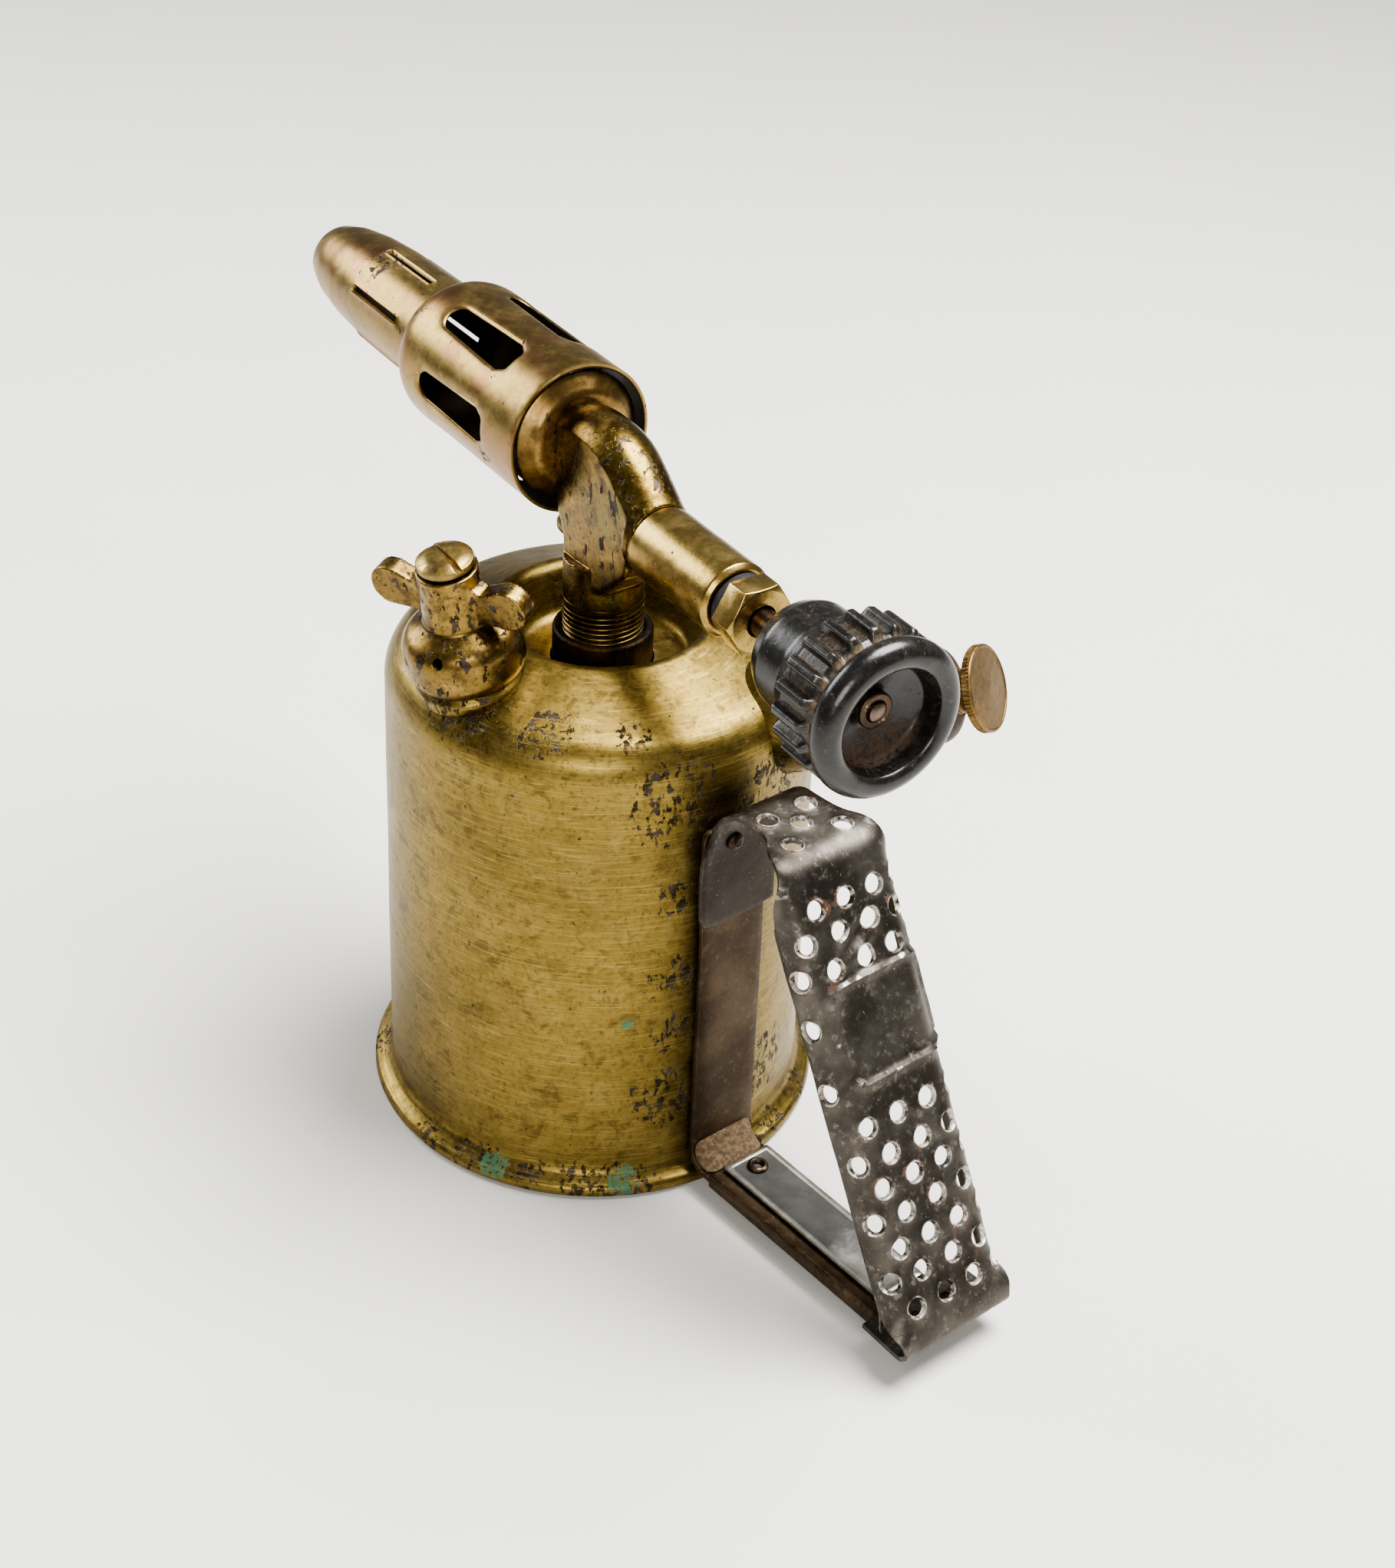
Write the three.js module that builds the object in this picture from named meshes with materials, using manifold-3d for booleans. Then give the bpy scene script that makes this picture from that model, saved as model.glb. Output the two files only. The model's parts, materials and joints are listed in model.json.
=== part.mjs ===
// Brass blowlamp: fuel tank, priming dish, burner, control valve, air pump and carrying handle.
// Frame: millimetres, +Z up, origin at the centre of the tank's base on the plane it stands on.
// +X runs from the nozzle to the valve knob, along the burner's axis.

import * as THREE from 'three';
import { mergeVertices } from 'three/addons/utils/BufferGeometryUtils.js';
import Module from 'manifold-3d';

const wasm = await Module();
wasm.setup();

// ---- Driving dimensions ----------------------------------------------------------------

const GAP = 0.3; // clearance between pieces that touch
const RUNNING_GAP = 0.35; // clearance round pieces that turn or slide

const TANK_RADIUS = 42;
const TANK_FOOT_RADIUS = 42.8;
const TANK_WALL = 1;
const RIM_RADIUS = 46.4;
const BEAD_RADIUS = 1.6;
const SIDE_TOP = 96;
const SHOULDER_RADIUS = 8.7;
const CREST_RADIUS = 21.5; // crest round the priming dish
const CREST_TOP = 109.3;
const DISH_RADIUS = 16.5;
const DISH_FLOOR = 99.5;
const BASE_HEIGHT = 1; // the base plate hangs this far above the standing plane
const BASE_PLATE = 1;

const BOSS_RADIUS = 9.8;
const BOSS_TOP = 106.5;
const COLUMN_RADIUS = 7.85;
const COLUMN_FOOT = 95.5;
const FLAT_FOOT = 122; // the casting's side flats start here
const FLAT_HALF = 6;
const EYE_HEIGHT = 123;

const BURNER_HEIGHT = 141.6;
const BURNER_RADIUS = 15;
const BURNER_WALL = 0.9;
const BURNER_REAR = 9.5; // distances forward of the tank's axis
const BURNER_SHOULDER = 51;
const NOZZLE_START = 62;
const NOZZLE_RADIUS = 10.6;
const NOZZLE_TIP = 107;
const NOZZLE_TIP_RADIUS = 7;
const NECK_RADIUS = 5.2;
const NECK_TIP = 19;
const PLATE_RADIUS = 12.6;

const VALVE_HEIGHT = 133.2;
const SLEEVE_START = 19.5; // distances from the tank's axis towards the knob
const SLEEVE_END = 44;
const SLEEVE_RADIUS = 7.3;
const PACKING_END = 46;
const NUT_END = 51.6;
const NUT_ACROSS_FLATS = 12.4;
const SPINDLE_RADIUS = 2.7;
const SEAT = 8; // face of the valve's seat
const KNOB_START = 60;
const KNOB_END = 91;
const KNOB_RADIUS = 14.7;
const KNOB_RIBS = 20;

const FILLER_TURN = -84.5; // degrees about the tank's axis
const FILLER_DISTANCE = 31;
const FILLER_HEIGHT = 106.5;
const FILLER_TILT = 11.5;
const NECK_BEAD_RADIUS = 10.4;
const FILLER_NECK_RADIUS = 8.4;
const CAP_RADIUS = 11.3;
const CAP_BARREL_RADIUS = 6.2;
const CAP_TOP = 24.2;
const WING_REACH = 16.6;
const WING_TURN = 29;

const PUMP_TURN = 33;
const PUMP_RISE = 23.5;
const PUMP_ENTRY = 98.6; // height at which the pump's axis meets the tank's radius
const PUMP_KNOB_OUT = 38.6; // distances along the pump's axis from there
const PUMP_CAP_OUT = 31;
const BARREL_OUT = 24;
const BARREL_IN = -33;
const BARREL_RADIUS = 7.9;
const BARREL_BORE = 7;
const PISTON_AT = -24;

const HANDLE_TURN = 6.2; // the handle stands a little off the burner's axis
const STRIP_WIDTH = 15.2;
const STRIP_MIDDLE = -1.4; // the strip is soldered on a little to one side
const STRIP_THICK = 1.2;
const GRIP_WIDTH = 27;
const GRIP_THICK = 1;
const HOLE_RADIUS = 2.1;

const TANK_SEGMENTS = 32;
const SEGMENTS = 20;
const SMALL_SEGMENTS = 14;

// ---- Looks -----------------------------------------------------------------------------

const look = (color, roughness, metalness) => new THREE.MeshStandardMaterial({ color, roughness, metalness });
const BRASS = look(0x9a7a35, 0.38, 1);
const DARK_BRASS = look(0x6b5023, 0.5, 1);
const BLACKENED = look(0x2b241c, 0.6, 0.8);
const STEEL = look(0x6d6862, 0.45, 1);
const RUSTY_STEEL = look(0x4c4139, 0.6, 0.9);
const BAKELITE = look(0x17171a, 0.35, 0);
const LEATHER = look(0x4a3220, 0.8, 0);
const RUBBER = look(0x202020, 0.85, 0);
const PLATE_SILVER = look(0xb9b8b2, 0.35, 1);

// ---- Solid helpers ---------------------------------------------------------------------

// A closed geometry becomes a manifold solid, with zero-area triangles dropped.
function solid(geometry) {
  const bare = geometry.clone();
  bare.deleteAttribute('normal');
  bare.deleteAttribute('uv');
  const merged = mergeVertices(bare, 1e-4);
  const index = merged.index.array;
  const position = merged.attributes.position;
  const triangles = [];
  let volume = 0;
  const corner = (i) => new THREE.Vector3().fromBufferAttribute(position, i);
  for (let i = 0; i < index.length; i += 3) {
    const [a, b, c] = index.slice(i, i + 3);
    if (a === b || b === c || c === a) continue;
    triangles.push(a, b, c);
    volume += corner(a).dot(corner(b).cross(corner(c)));
  }
  if (volume < 0) triangles.reverse();
  const vertProperties = new Float32Array(position.array);
  const triVerts = new Uint32Array(triangles);
  return new wasm.Manifold(new wasm.Mesh({ numProp: 3, vertProperties, triVerts }));
}

const joined = (first, ...others) => others.reduce((sum, other) => sum.add(other), first);
const cut = (body, ...tools) => tools.reduce((rest, tool) => rest.subtract(tool), body);

function piece(name, body, material) {
  const { vertProperties, triVerts } = body.getMesh();
  const geometry = new THREE.BufferGeometry();
  geometry.setAttribute('position', new THREE.BufferAttribute(vertProperties, 3));
  geometry.setIndex(new THREE.BufferAttribute(triVerts, 1));
  geometry.computeVertexNormals();
  const mesh = new THREE.Mesh(geometry, material);
  mesh.name = name;
  return mesh;
}

// ---- Outline helpers -------------------------------------------------------------------

const radians = THREE.MathUtils.degToRad;

function arc(x, y, radius, from, to, steps) {
  return Array.from({ length: steps + 1 }, (_, i) => {
    const angle = radians(from + ((to - from) * i) / steps);
    return [x + radius * Math.cos(angle), y + radius * Math.sin(angle)];
  });
}

// The line moved sideways to its right, with mitred corners.
function offsetLine(line, distance) {
  const normals = line.slice(1).map(([x, y], i) => {
    const dx = x - line[i][0];
    const dy = y - line[i][1];
    const length = Math.hypot(dx, dy);
    return [dy / length, -dx / length];
  });
  return line.map(([x, y], i) => {
    const before = normals[Math.max(i - 1, 0)];
    const after = normals[Math.min(i, normals.length - 1)];
    const scale = distance / (1 + before[0] * after[0] + before[1] * after[1]);
    return [x + (before[0] + after[0]) * scale, y + (before[1] + after[1]) * scale];
  });
}

// A sheet of the given thickness whose one face is the line.
const sheet = (line, thickness) => [...line, ...offsetLine(line, thickness).reverse()];

// A solid of revolution about Z from an outline of [radius, height] points.
function turned(outline, segments) {
  const points = outline.map(([radius, height]) => new THREE.Vector2(radius, height));
  const onAxis = outline[0][0] === 0 && outline.at(-1)[0] === 0;
  if (!onAxis) points.push(points[0].clone());
  return new THREE.LatheGeometry(points, segments).rotateX(Math.PI / 2);
}

// A round bar between two heights, and a ring between two radii.
const bar = (radius, low, high, segments = 24) =>
  turned([[0, low], [radius, low], [radius, high], [0, high]], segments);
const hoop = (inner, outer, low, high, segments = 24) =>
  turned([[inner, low], [outer, low], [outer, high], [inner, high]], segments);

// An outline in X and Y made into a plate that rises along Z.
function prism(outline, height) {
  const shape = new THREE.Shape(outline.map(([x, y]) => new THREE.Vector2(x, y)));
  return new THREE.ExtrudeGeometry(shape, { depth: height, bevelEnabled: false });
}

// An outline in X and Z made into a strip of the given width, centred on Y.
const strip = (outline, width) => prism(outline, width).rotateX(Math.PI / 2).translate(0, width / 2, 0);

const box = (x, y, z, dx, dy, dz) => new THREE.BoxGeometry(dx, dy, dz).translate(x, y, z);

// A bar lying along X.
const barAlongX = (radius, from, to, height, segments = 24) =>
  bar(radius, from, to, segments).rotateY(Math.PI / 2).translate(0, 0, height);

// ---- Frames of the turned and inclined groups --------------------------------------------

function frame(x, y, z, ...turns) {
  const matrix = new THREE.Matrix4().makeTranslation(x, y, z);
  for (const [axis, degrees] of turns) {
    const turn = new THREE.Matrix4().makeRotationAxis(axis, radians(degrees));
    matrix.multiply(turn);
  }
  return matrix;
}

function groupAt(matrix, ...meshes) {
  const group = new THREE.Group();
  group.applyMatrix4(matrix);
  group.add(...meshes);
  return group;
}

const AXIS_Y = new THREE.Vector3(0, 1, 0);
const AXIS_Z = new THREE.Vector3(0, 0, 1);

const around = (distance, degrees) => [
  distance * Math.cos(radians(degrees)),
  distance * Math.sin(radians(degrees)),
];

const burnerFrame = frame(0, 0, BURNER_HEIGHT, [AXIS_Y, -90]);
const valveFrame = frame(0, 0, VALVE_HEIGHT, [AXIS_Y, 90]);
const fillerFrame = frame(
  ...around(FILLER_DISTANCE, FILLER_TURN), FILLER_HEIGHT, [AXIS_Z, FILLER_TURN], [AXIS_Y, FILLER_TILT]);
const pumpFrame = frame(
  ...around(TANK_RADIUS, PUMP_TURN), PUMP_ENTRY, [AXIS_Z, PUMP_TURN], [AXIS_Y, 90 - PUMP_RISE]);
const handleFrame = frame(0, 0, 0, [AXIS_Z, HANDLE_TURN]);

// ---- Tank ------------------------------------------------------------------------------

// The tank's outer line from the flare above the rim, up the side and down into the dish.
const tankLine = [
  ...arc(TANK_FOOT_RADIUS + 3, 6.4, 3, 245, 180, 3),
  ...arc(TANK_RADIUS - SHOULDER_RADIUS, SIDE_TOP, SHOULDER_RADIUS, 0, 70, 4),
  ...arc(CREST_RADIUS, CREST_TOP - 2.5, 2.5, 70, 160, 3),
  ...arc(DISH_RADIUS - 2, DISH_FLOOR + 3, 3, -20, -90, 3).slice(1),
  [BOSS_RADIUS + GAP, DISH_FLOOR],
];

// The space that the tank takes up, grown by a clearance.
function tankVolume(grow) {
  const outside = offsetLine(tankLine, grow);
  return turned([[0, 0], [outside[0][0], 0], ...outside, [0, DISH_FLOOR + grow]], TANK_SEGMENTS);
}

function tankShell() {
  const shell = solid(turned(sheet(tankLine, -TANK_WALL), TANK_SEGMENTS));
  const bead = solid(turned(arc(RIM_RADIUS - BEAD_RADIUS, BEAD_RADIUS, BEAD_RADIUS / Math.cos(Math.PI / 8),
    -67.5, 247.5, 7), TANK_SEGMENTS));
  const fillerHole = solid(bar(NECK_BEAD_RADIUS + GAP, -12, 12).applyMatrix4(fillerFrame));
  const pumpHole = solid(bar(BARREL_RADIUS + GAP, -20, 30).applyMatrix4(pumpFrame));
  return piece('tank_shell', cut(joined(shell, bead), fillerHole, pumpHole), BRASS);
}

// A flat plate with an upturned edge, sweated inside the foot of the shell.
function tankBase() {
  const edge = TANK_FOOT_RADIUS - TANK_WALL - GAP;
  const line = [[0, BASE_HEIGHT], [edge - 1.5, BASE_HEIGHT], [edge, BASE_HEIGHT + 1.5], [edge, BASE_HEIGHT + 8]];
  const inner = offsetLine(line, -BASE_PLATE).reverse();
  return piece('tank_base', solid(turned([...line, ...inner], TANK_SEGMENTS)), DARK_BRASS);
}

// The blackened collar in the middle of the dish that the burner screws into.
function burnerBoss() {
  const outline = [
    [COLUMN_RADIUS + GAP, 96.5],
    [BOSS_RADIUS, 96.5],
    [BOSS_RADIUS, BOSS_TOP - 0.8],
    [BOSS_RADIUS - 0.8, BOSS_TOP],
    [COLUMN_RADIUS + GAP, BOSS_TOP],
  ];
  return piece('burner_boss', solid(turned(outline, SEGMENTS)), BLACKENED);
}

function pickupTube() {
  return piece('pickup_tube', solid(hoop(1.7, 2.5, 14, 103, 12)), DARK_BRASS);
}

// A gauze cup that keeps dirt out of the tube's lower end.
function pickupStrainer() {
  const outline = [
    [0, 8], [4.5, 8], [4.5, 20], [3.2, 23], [2.5 + GAP, 23], [2.5 + GAP, 19], [3.7, 18.6], [3.7, 8.8], [0, 8.8],
  ];
  return piece('pickup_strainer', solid(turned(outline, SMALL_SEGMENTS)), DARK_BRASS);
}

// ---- Burner ----------------------------------------------------------------------------

// Column, elbow and neck in one casting, with flats on its sides and a plugged cleaning boss.
function burnerCasting() {
  const column = solid(bar(COLUMN_RADIUS, COLUMN_FOOT, VALVE_HEIGHT));
  const shoulderPath = new THREE.CatmullRomCurve3([
    new THREE.Vector3(-9, 0, BURNER_HEIGHT + 0.6),
    new THREE.Vector3(-2, 0, BURNER_HEIGHT + 1.6),
    new THREE.Vector3(5, 0, BURNER_HEIGHT + 0.8),
    new THREE.Vector3(11, 0, BURNER_HEIGHT - 3.4),
    new THREE.Vector3(16, 0, VALVE_HEIGHT + 1),
    new THREE.Vector3(SLEEVE_START - GAP, 0, VALVE_HEIGHT),
  ]);
  const round = new THREE.Shape().absarc(0, 0, 7.2, 0, 2 * Math.PI);
  const elbow = solid(new THREE.ExtrudeGeometry(round, { extrudePath: shoulderPath, steps: 8, curveSegments: 14 }));
  const web = solid(strip([
    [-7.8, FLAT_FOOT - 4], [7.5, FLAT_FOOT - 4], [17, VALVE_HEIGHT - 7], [17, VALVE_HEIGHT], [10, BURNER_HEIGHT],
    [-8.4, BURNER_HEIGHT + 3], [-9, BURNER_HEIGHT - 7],
  ], 2 * FLAT_HALF));
  const neck = solid(barAlongX(NECK_RADIUS, -NECK_TIP, 0, BURNER_HEIGHT));
  const eye = solid(barAlongX(3.2, -10, 0, EYE_HEIGHT, 16));
  const flats = [1, -1].map((side) => solid(box(0, side * (FLAT_HALF + 5), FLAT_FOOT + 13, 32, 10, 26)));
  const body = cut(joined(column, elbow, web, neck, eye), ...flats);
  const riser = solid(bar(2.9, COLUMN_FOOT - 1, VALVE_HEIGHT, 16));
  const seatBore = solid(barAlongX(1.2, -1, SEAT + 1, VALVE_HEIGHT, 12));
  const valveBore = solid(barAlongX(3.3, SEAT, SLEEVE_START + 2, VALVE_HEIGHT, 20));
  const jetBore = solid(barAlongX(2.4, -NECK_TIP - 1, -8, BURNER_HEIGHT, 16));
  const crossBore = solid(bar(1.4, VALVE_HEIGHT - 1, BURNER_HEIGHT + 1, 12).rotateY(radians(-40))
    .translate(VALVE_HEIGHT * Math.sin(radians(40)) - 1, 0, VALVE_HEIGHT * (1 - Math.cos(radians(40)))));
  const eyeBore = solid(barAlongX(2.3, -11, -5, EYE_HEIGHT, 16));
  const sleeveSpace = solid(barAlongX(12, SLEEVE_START - GAP, SLEEVE_END, VALVE_HEIGHT));
  const bores = [riser, seatBore, valveBore, jetBore, crossBore, eyeBore];
  return piece('burner_casting', cut(body, sleeveSpace, ...bores), DARK_BRASS);
}

// Pieces on the burner's axis, with local Z pointing forward to the nozzle.
function backPlate() {
  const line = [[NECK_RADIUS + GAP, 10.2], ...arc(8, 13.2, 3, -90, -50, 3), [PLATE_RADIUS, 12.8]];
  return piece('burner_back_plate', solid(turned(sheet(line, -1), SEGMENTS)), DARK_BRASS);
}

// A hub with three arms that carries the burner tube on the neck.
function tubeCarrier() {
  const hub = solid(hoop(NECK_RADIUS + GAP, 8, 14.9, 18.4, 24));
  const arms = [30, 150, 270].map((turn) =>
    solid(box(10.7, 0, 16.6, 6, 4, 2.4).rotateZ(radians(turn))));
  const rim = solid(bar(BURNER_RADIUS - BURNER_WALL - GAP, 14, 20));
  return piece('burner_tube_carrier', joined(hub, ...arms).intersect(rim), BLACKENED);
}

function jetNipple() {
  const outline = [
    [0.6, 12], [2.1, 12], [2.1, NECK_TIP + GAP], [3.6, NECK_TIP + GAP], [3.6, 22.6], [2.2, 23.4], [1.2, 26], [0.6, 26],
  ];
  return piece('jet_nipple', solid(turned(outline, SMALL_SEGMENTS)), DARK_BRASS);
}

const NOZZLE_JOIN = 60;
const SLOT_PAIRS = 6;

// Barrel of the burner, with air slots round it.
function burnerTube() {
  const line = [
    [BURNER_RADIUS, BURNER_REAR],
    ...arc(BURNER_RADIUS - 9, BURNER_SHOULDER, 9, 0, 58, 4),
    [NOZZLE_RADIUS + 0.1, NOZZLE_JOIN],
  ];
  const wall = solid(turned(sheet(line, -BURNER_WALL), SEGMENTS));
  const airSlot = prism([
    ...arc(0, 42.9, 3, 20, 160, 5), [-3.6, 24], [-2.4, 21.6], [2.4, 21.6], [3.6, 24],
  ], 10).rotateX(Math.PI / 2).rotateZ(Math.PI / 2).translate(8, 0, 0);
  const slots = [];
  for (let k = 0; k < SLOT_PAIRS; k += 1) {
    slots.push(solid(airSlot.clone().rotateZ(radians(60 * k + 30))));
  }
  return piece('burner_tube', cut(wall, ...slots), BRASS);
}

// Slotted nozzle on the end of the barrel.
function burnerNozzle() {
  const line = [
    [NOZZLE_RADIUS + 0.1, NOZZLE_JOIN + GAP],
    [NOZZLE_RADIUS, NOZZLE_START],
    [NOZZLE_RADIUS - 0.2, 84],
    [9.7, 94],
    [8.5, 102],
    [NOZZLE_TIP_RADIUS, NOZZLE_TIP],
  ];
  const wall = solid(turned(sheet(line, -BURNER_WALL), SEGMENTS));
  const jetSlot = box(NOZZLE_RADIUS, 0, 73.7, 6, 1.8, 19);
  const slots = [];
  for (let k = 0; k < SLOT_PAIRS; k += 1) {
    slots.push(solid(jetSlot.clone().rotateZ(radians(60 * k - 6))));
  }
  return piece('burner_nozzle', cut(wall, ...slots), BRASS);
}

// ---- Control valve, with local Z pointing to the knob -------------------------------------

function stuffingBox() {
  const outline = [
    [3.3, SLEEVE_START], [SLEEVE_RADIUS, SLEEVE_START], [SLEEVE_RADIUS, SLEEVE_END - 0.8],
    [SLEEVE_RADIUS - 0.8, SLEEVE_END], [5.3, SLEEVE_END], [5.3, SLEEVE_END - 4], [3.3, SLEEVE_END - 5],
  ];
  return piece('stuffing_box', solid(turned(outline, SEGMENTS)), BRASS);
}

function glandPacking() {
  const outline = [
    [SPINDLE_RADIUS + RUNNING_GAP, SLEEVE_END - 3.7], [5, SLEEVE_END - 3.7], [5, SLEEVE_END + GAP],
    [6, SLEEVE_END + GAP], [6, PACKING_END], [SPINDLE_RADIUS + RUNNING_GAP, PACKING_END],
  ];
  return piece('gland_packing', solid(turned(outline, SMALL_SEGMENTS)), BLACKENED);
}

function glandNut() {
  const hex = solid(new THREE.CylinderGeometry(NUT_ACROSS_FLATS / Math.sqrt(3), NUT_ACROSS_FLATS / Math.sqrt(3),
    NUT_END - PACKING_END - GAP, 6).rotateX(Math.PI / 2).translate(0, 0, (NUT_END + PACKING_END + GAP) / 2));
  const bore = solid(bar(SPINDLE_RADIUS + RUNNING_GAP, PACKING_END, NUT_END + 1, SMALL_SEGMENTS));
  return piece('gland_nut', cut(hex, bore), BRASS);
}

// The cone slides with the spindle and doesn't turn, so that it shuts without scoring its seat.
function valveCone() {
  const outline = [[0, SEAT - 0.6], [0.7, SEAT - 0.6], [2.6, SEAT + 2.2], [2.6, 13], [0, 13]];
  return piece('valve_cone', solid(turned(outline, SMALL_SEGMENTS)), STEEL);
}

function valveSpindle() {
  const outline = [
    [0, 13 + GAP], [SPINDLE_RADIUS, 13 + GAP], [SPINDLE_RADIUS, KNOB_START + 14], [1.9, KNOB_START + 14],
    [1.9, KNOB_END - 4], [1.6, KNOB_END - 2.6], [0, KNOB_END - 2.4],
  ];
  return piece('valve_spindle', solid(turned(outline, SMALL_SEGMENTS)), STEEL);
}

function valveKnob() {
  const outline = [
    [SPINDLE_RADIUS + GAP, KNOB_START],
    [6, KNOB_START],
    ...arc(6, KNOB_START + 4.4, 4.4, -70, 0, 3),
    [10.6, KNOB_START + 12],
    [13.2, KNOB_START + 15.5],
    [13.2, KNOB_START + 23],
    ...arc(KNOB_RADIUS - 3, KNOB_END - 3, 3, -20, 130, 4),
    [9.4, KNOB_END - 6],
    [3.6, KNOB_END - 7.6],
    [2.2, KNOB_END - 7.6],
    [2.2, KNOB_START + 14 + GAP],
    [SPINDLE_RADIUS + GAP, KNOB_START + 14 + GAP],
  ];
  const body = solid(turned(outline, SEGMENTS));
  const ribs = [];
  for (let k = 0; k < KNOB_RIBS; k += 1) {
    const turn = radians((360 / KNOB_RIBS) * k);
    ribs.push(solid(box(13.4, 0, KNOB_START + 19, 3, 2, 7.4).rotateZ(turn)));
  }
  return piece('valve_knob', joined(body, ...ribs), BAKELITE);
}

function knobWasher() {
  return piece('knob_washer', solid(hoop(2.2, 3.4, KNOB_END - 7.3, KNOB_END - 6.1, SMALL_SEGMENTS)), STEEL);
}

// ---- Filler, with local Z along the cap's axis ---------------------------------------------

function fillerNeck() {
  const outline = [
    [7.2, -6], [FILLER_NECK_RADIUS, -6], [FILLER_NECK_RADIUS, -2.6], [NECK_BEAD_RADIUS - 0.6, -2.6],
    ...arc(NECK_BEAD_RADIUS - 1, -0.2, 1, -60, 90, 3),
    [FILLER_NECK_RADIUS, 0.8], [FILLER_NECK_RADIUS, 8.6], [7.2, 8.6],
  ];
  return piece('filler_neck', solid(turned(outline, SEGMENTS)), BRASS);
}

function fillerSeal() {
  return piece('filler_seal', solid(hoop(3, FILLER_NECK_RADIUS - 0.2, 8.9, 10.1, SMALL_SEGMENTS)), LEATHER);
}

// Bell-shaped cap with two wings; its bore takes the release screw.
function fillerCap() {
  const outline = [
    [FILLER_NECK_RADIUS + RUNNING_GAP, 1.8],
    [CAP_RADIUS - 0.5, 1.8],
    [CAP_RADIUS, 3.2],
    ...arc(CAP_RADIUS - 4.4, 7.8, 4.4, 0, 70, 4),
    [CAP_BARREL_RADIUS - 0.2, 13.6],
    [CAP_BARREL_RADIUS - 0.4, 20],
    [CAP_BARREL_RADIUS, CAP_TOP],
    [2.9, CAP_TOP],
    [2.9, 12.2],
    [1.2, 12.2],
    [1.2, 10.4],
    [FILLER_NECK_RADIUS + RUNNING_GAP, 10.4],
  ];
  const body = solid(turned(outline, SEGMENTS));
  const wingOutline = [
    [-8, 14.6], [8, 14.6], ...arc(WING_REACH - 4, 18.4, 4, -70, 110, 6), [7, 21.4], [4, 22.4],
    [-4, 22.4], [-7, 21.4], ...arc(-WING_REACH + 4, 18.4, 4, 70, 250, 6),
  ];
  const wings = cut(solid(strip(wingOutline, 2.6)), solid(bar(4, 10, 26, 16)));
  const turnedWings = wings.rotate([0, 0, WING_TURN - FILLER_TURN]);
  const vent = solid(bar(1.1, 0, 8, 8).rotateY(Math.PI / 2).translate(0, 0, 14.6));
  return piece('filler_cap', cut(joined(body, turnedWings), vent.rotate([0, 0, 32])), BRASS);
}

function releaseSeal() {
  return piece('release_seal', solid(bar(2.4, 12.5, 13.3, 16)), RUBBER);
}

function releaseScrew() {
  const outline = [
    [0, 13.6], [2.5, 13.6], [2.5, CAP_TOP + 0.4], [5, CAP_TOP + 0.4], [5.45, CAP_TOP + 0.9],
    [5.45, CAP_TOP + 2.4], [5, CAP_TOP + 2.8], [0, CAP_TOP + 2.8],
  ];
  const slot = solid(box(0, 0, CAP_TOP + 2.4, 14, 1.3, 1.6).rotateZ(radians(-FILLER_TURN)));
  return piece('release_screw', cut(solid(turned(outline, SMALL_SEGMENTS)), slot), BRASS);
}

// ---- Pump, with local Z pointing out of the tank --------------------------------------------

function pumpBoss() {
  const collar = solid(hoop(BARREL_RADIUS + GAP, 11, -8, 5));
  const tank = solid(tankVolume(GAP).applyMatrix4(pumpFrame.clone().invert()));
  return piece('pump_boss', cut(collar, tank), DARK_BRASS);
}

function pumpBarrel() {
  const outline = [
    [3.3, BARREL_IN], [BARREL_RADIUS, BARREL_IN], [BARREL_RADIUS, BARREL_OUT], [BARREL_BORE, BARREL_OUT],
    [BARREL_BORE, BARREL_IN + 1.2], [3.3, BARREL_IN + 1.2],
  ];
  return piece('pump_barrel', solid(turned(outline, SEGMENTS)), DARK_BRASS);
}

function pumpCap() {
  const outline = [
    [BARREL_RADIUS + GAP, 12], [9.2, 12], [9.2, PUMP_CAP_OUT - 3.6],
    ...arc(5.6, PUMP_CAP_OUT - 3.6, 3.6, 0, 80, 4).slice(1),
    [2.2 + RUNNING_GAP, PUMP_CAP_OUT], [2.2 + RUNNING_GAP, BARREL_OUT + GAP], [BARREL_RADIUS + GAP, BARREL_OUT + GAP],
  ];
  return piece('pump_cap', solid(turned(outline, SEGMENTS)), BRASS);
}

function pumpRod() {
  const outline = [
    [0, PISTON_AT - 4], [1.5, PISTON_AT - 4], [1.5, PISTON_AT + 3.6], [2.2, PISTON_AT + 3.6],
    [2.2, PUMP_CAP_OUT + 5], [0, PUMP_CAP_OUT + 5],
  ];
  return piece('pump_rod', solid(turned(outline, 12)), STEEL);
}

function pumpKnob() {
  const outline = [
    [0, PUMP_CAP_OUT + 5 + GAP], [2.2 + GAP, PUMP_CAP_OUT + 5 + GAP], [2.2 + GAP, PUMP_CAP_OUT + 0.6],
    [4, PUMP_CAP_OUT + 0.6], [4, PUMP_KNOB_OUT - 4.6],
    [5.4, PUMP_KNOB_OUT - 2.6], [8.1, PUMP_KNOB_OUT - 1.9], [8.1, PUMP_KNOB_OUT - 0.3],
    [7.8, PUMP_KNOB_OUT], [0, PUMP_KNOB_OUT],
  ];
  return piece('pump_knob', solid(turned(outline, SEGMENTS)), BRASS);
}

const pistonWasher = () => piece('piston_washer', solid(hoop(1.8, 5.4, PISTON_AT + 1.8, PISTON_AT + 3.3, 12)), BRASS);

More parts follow.
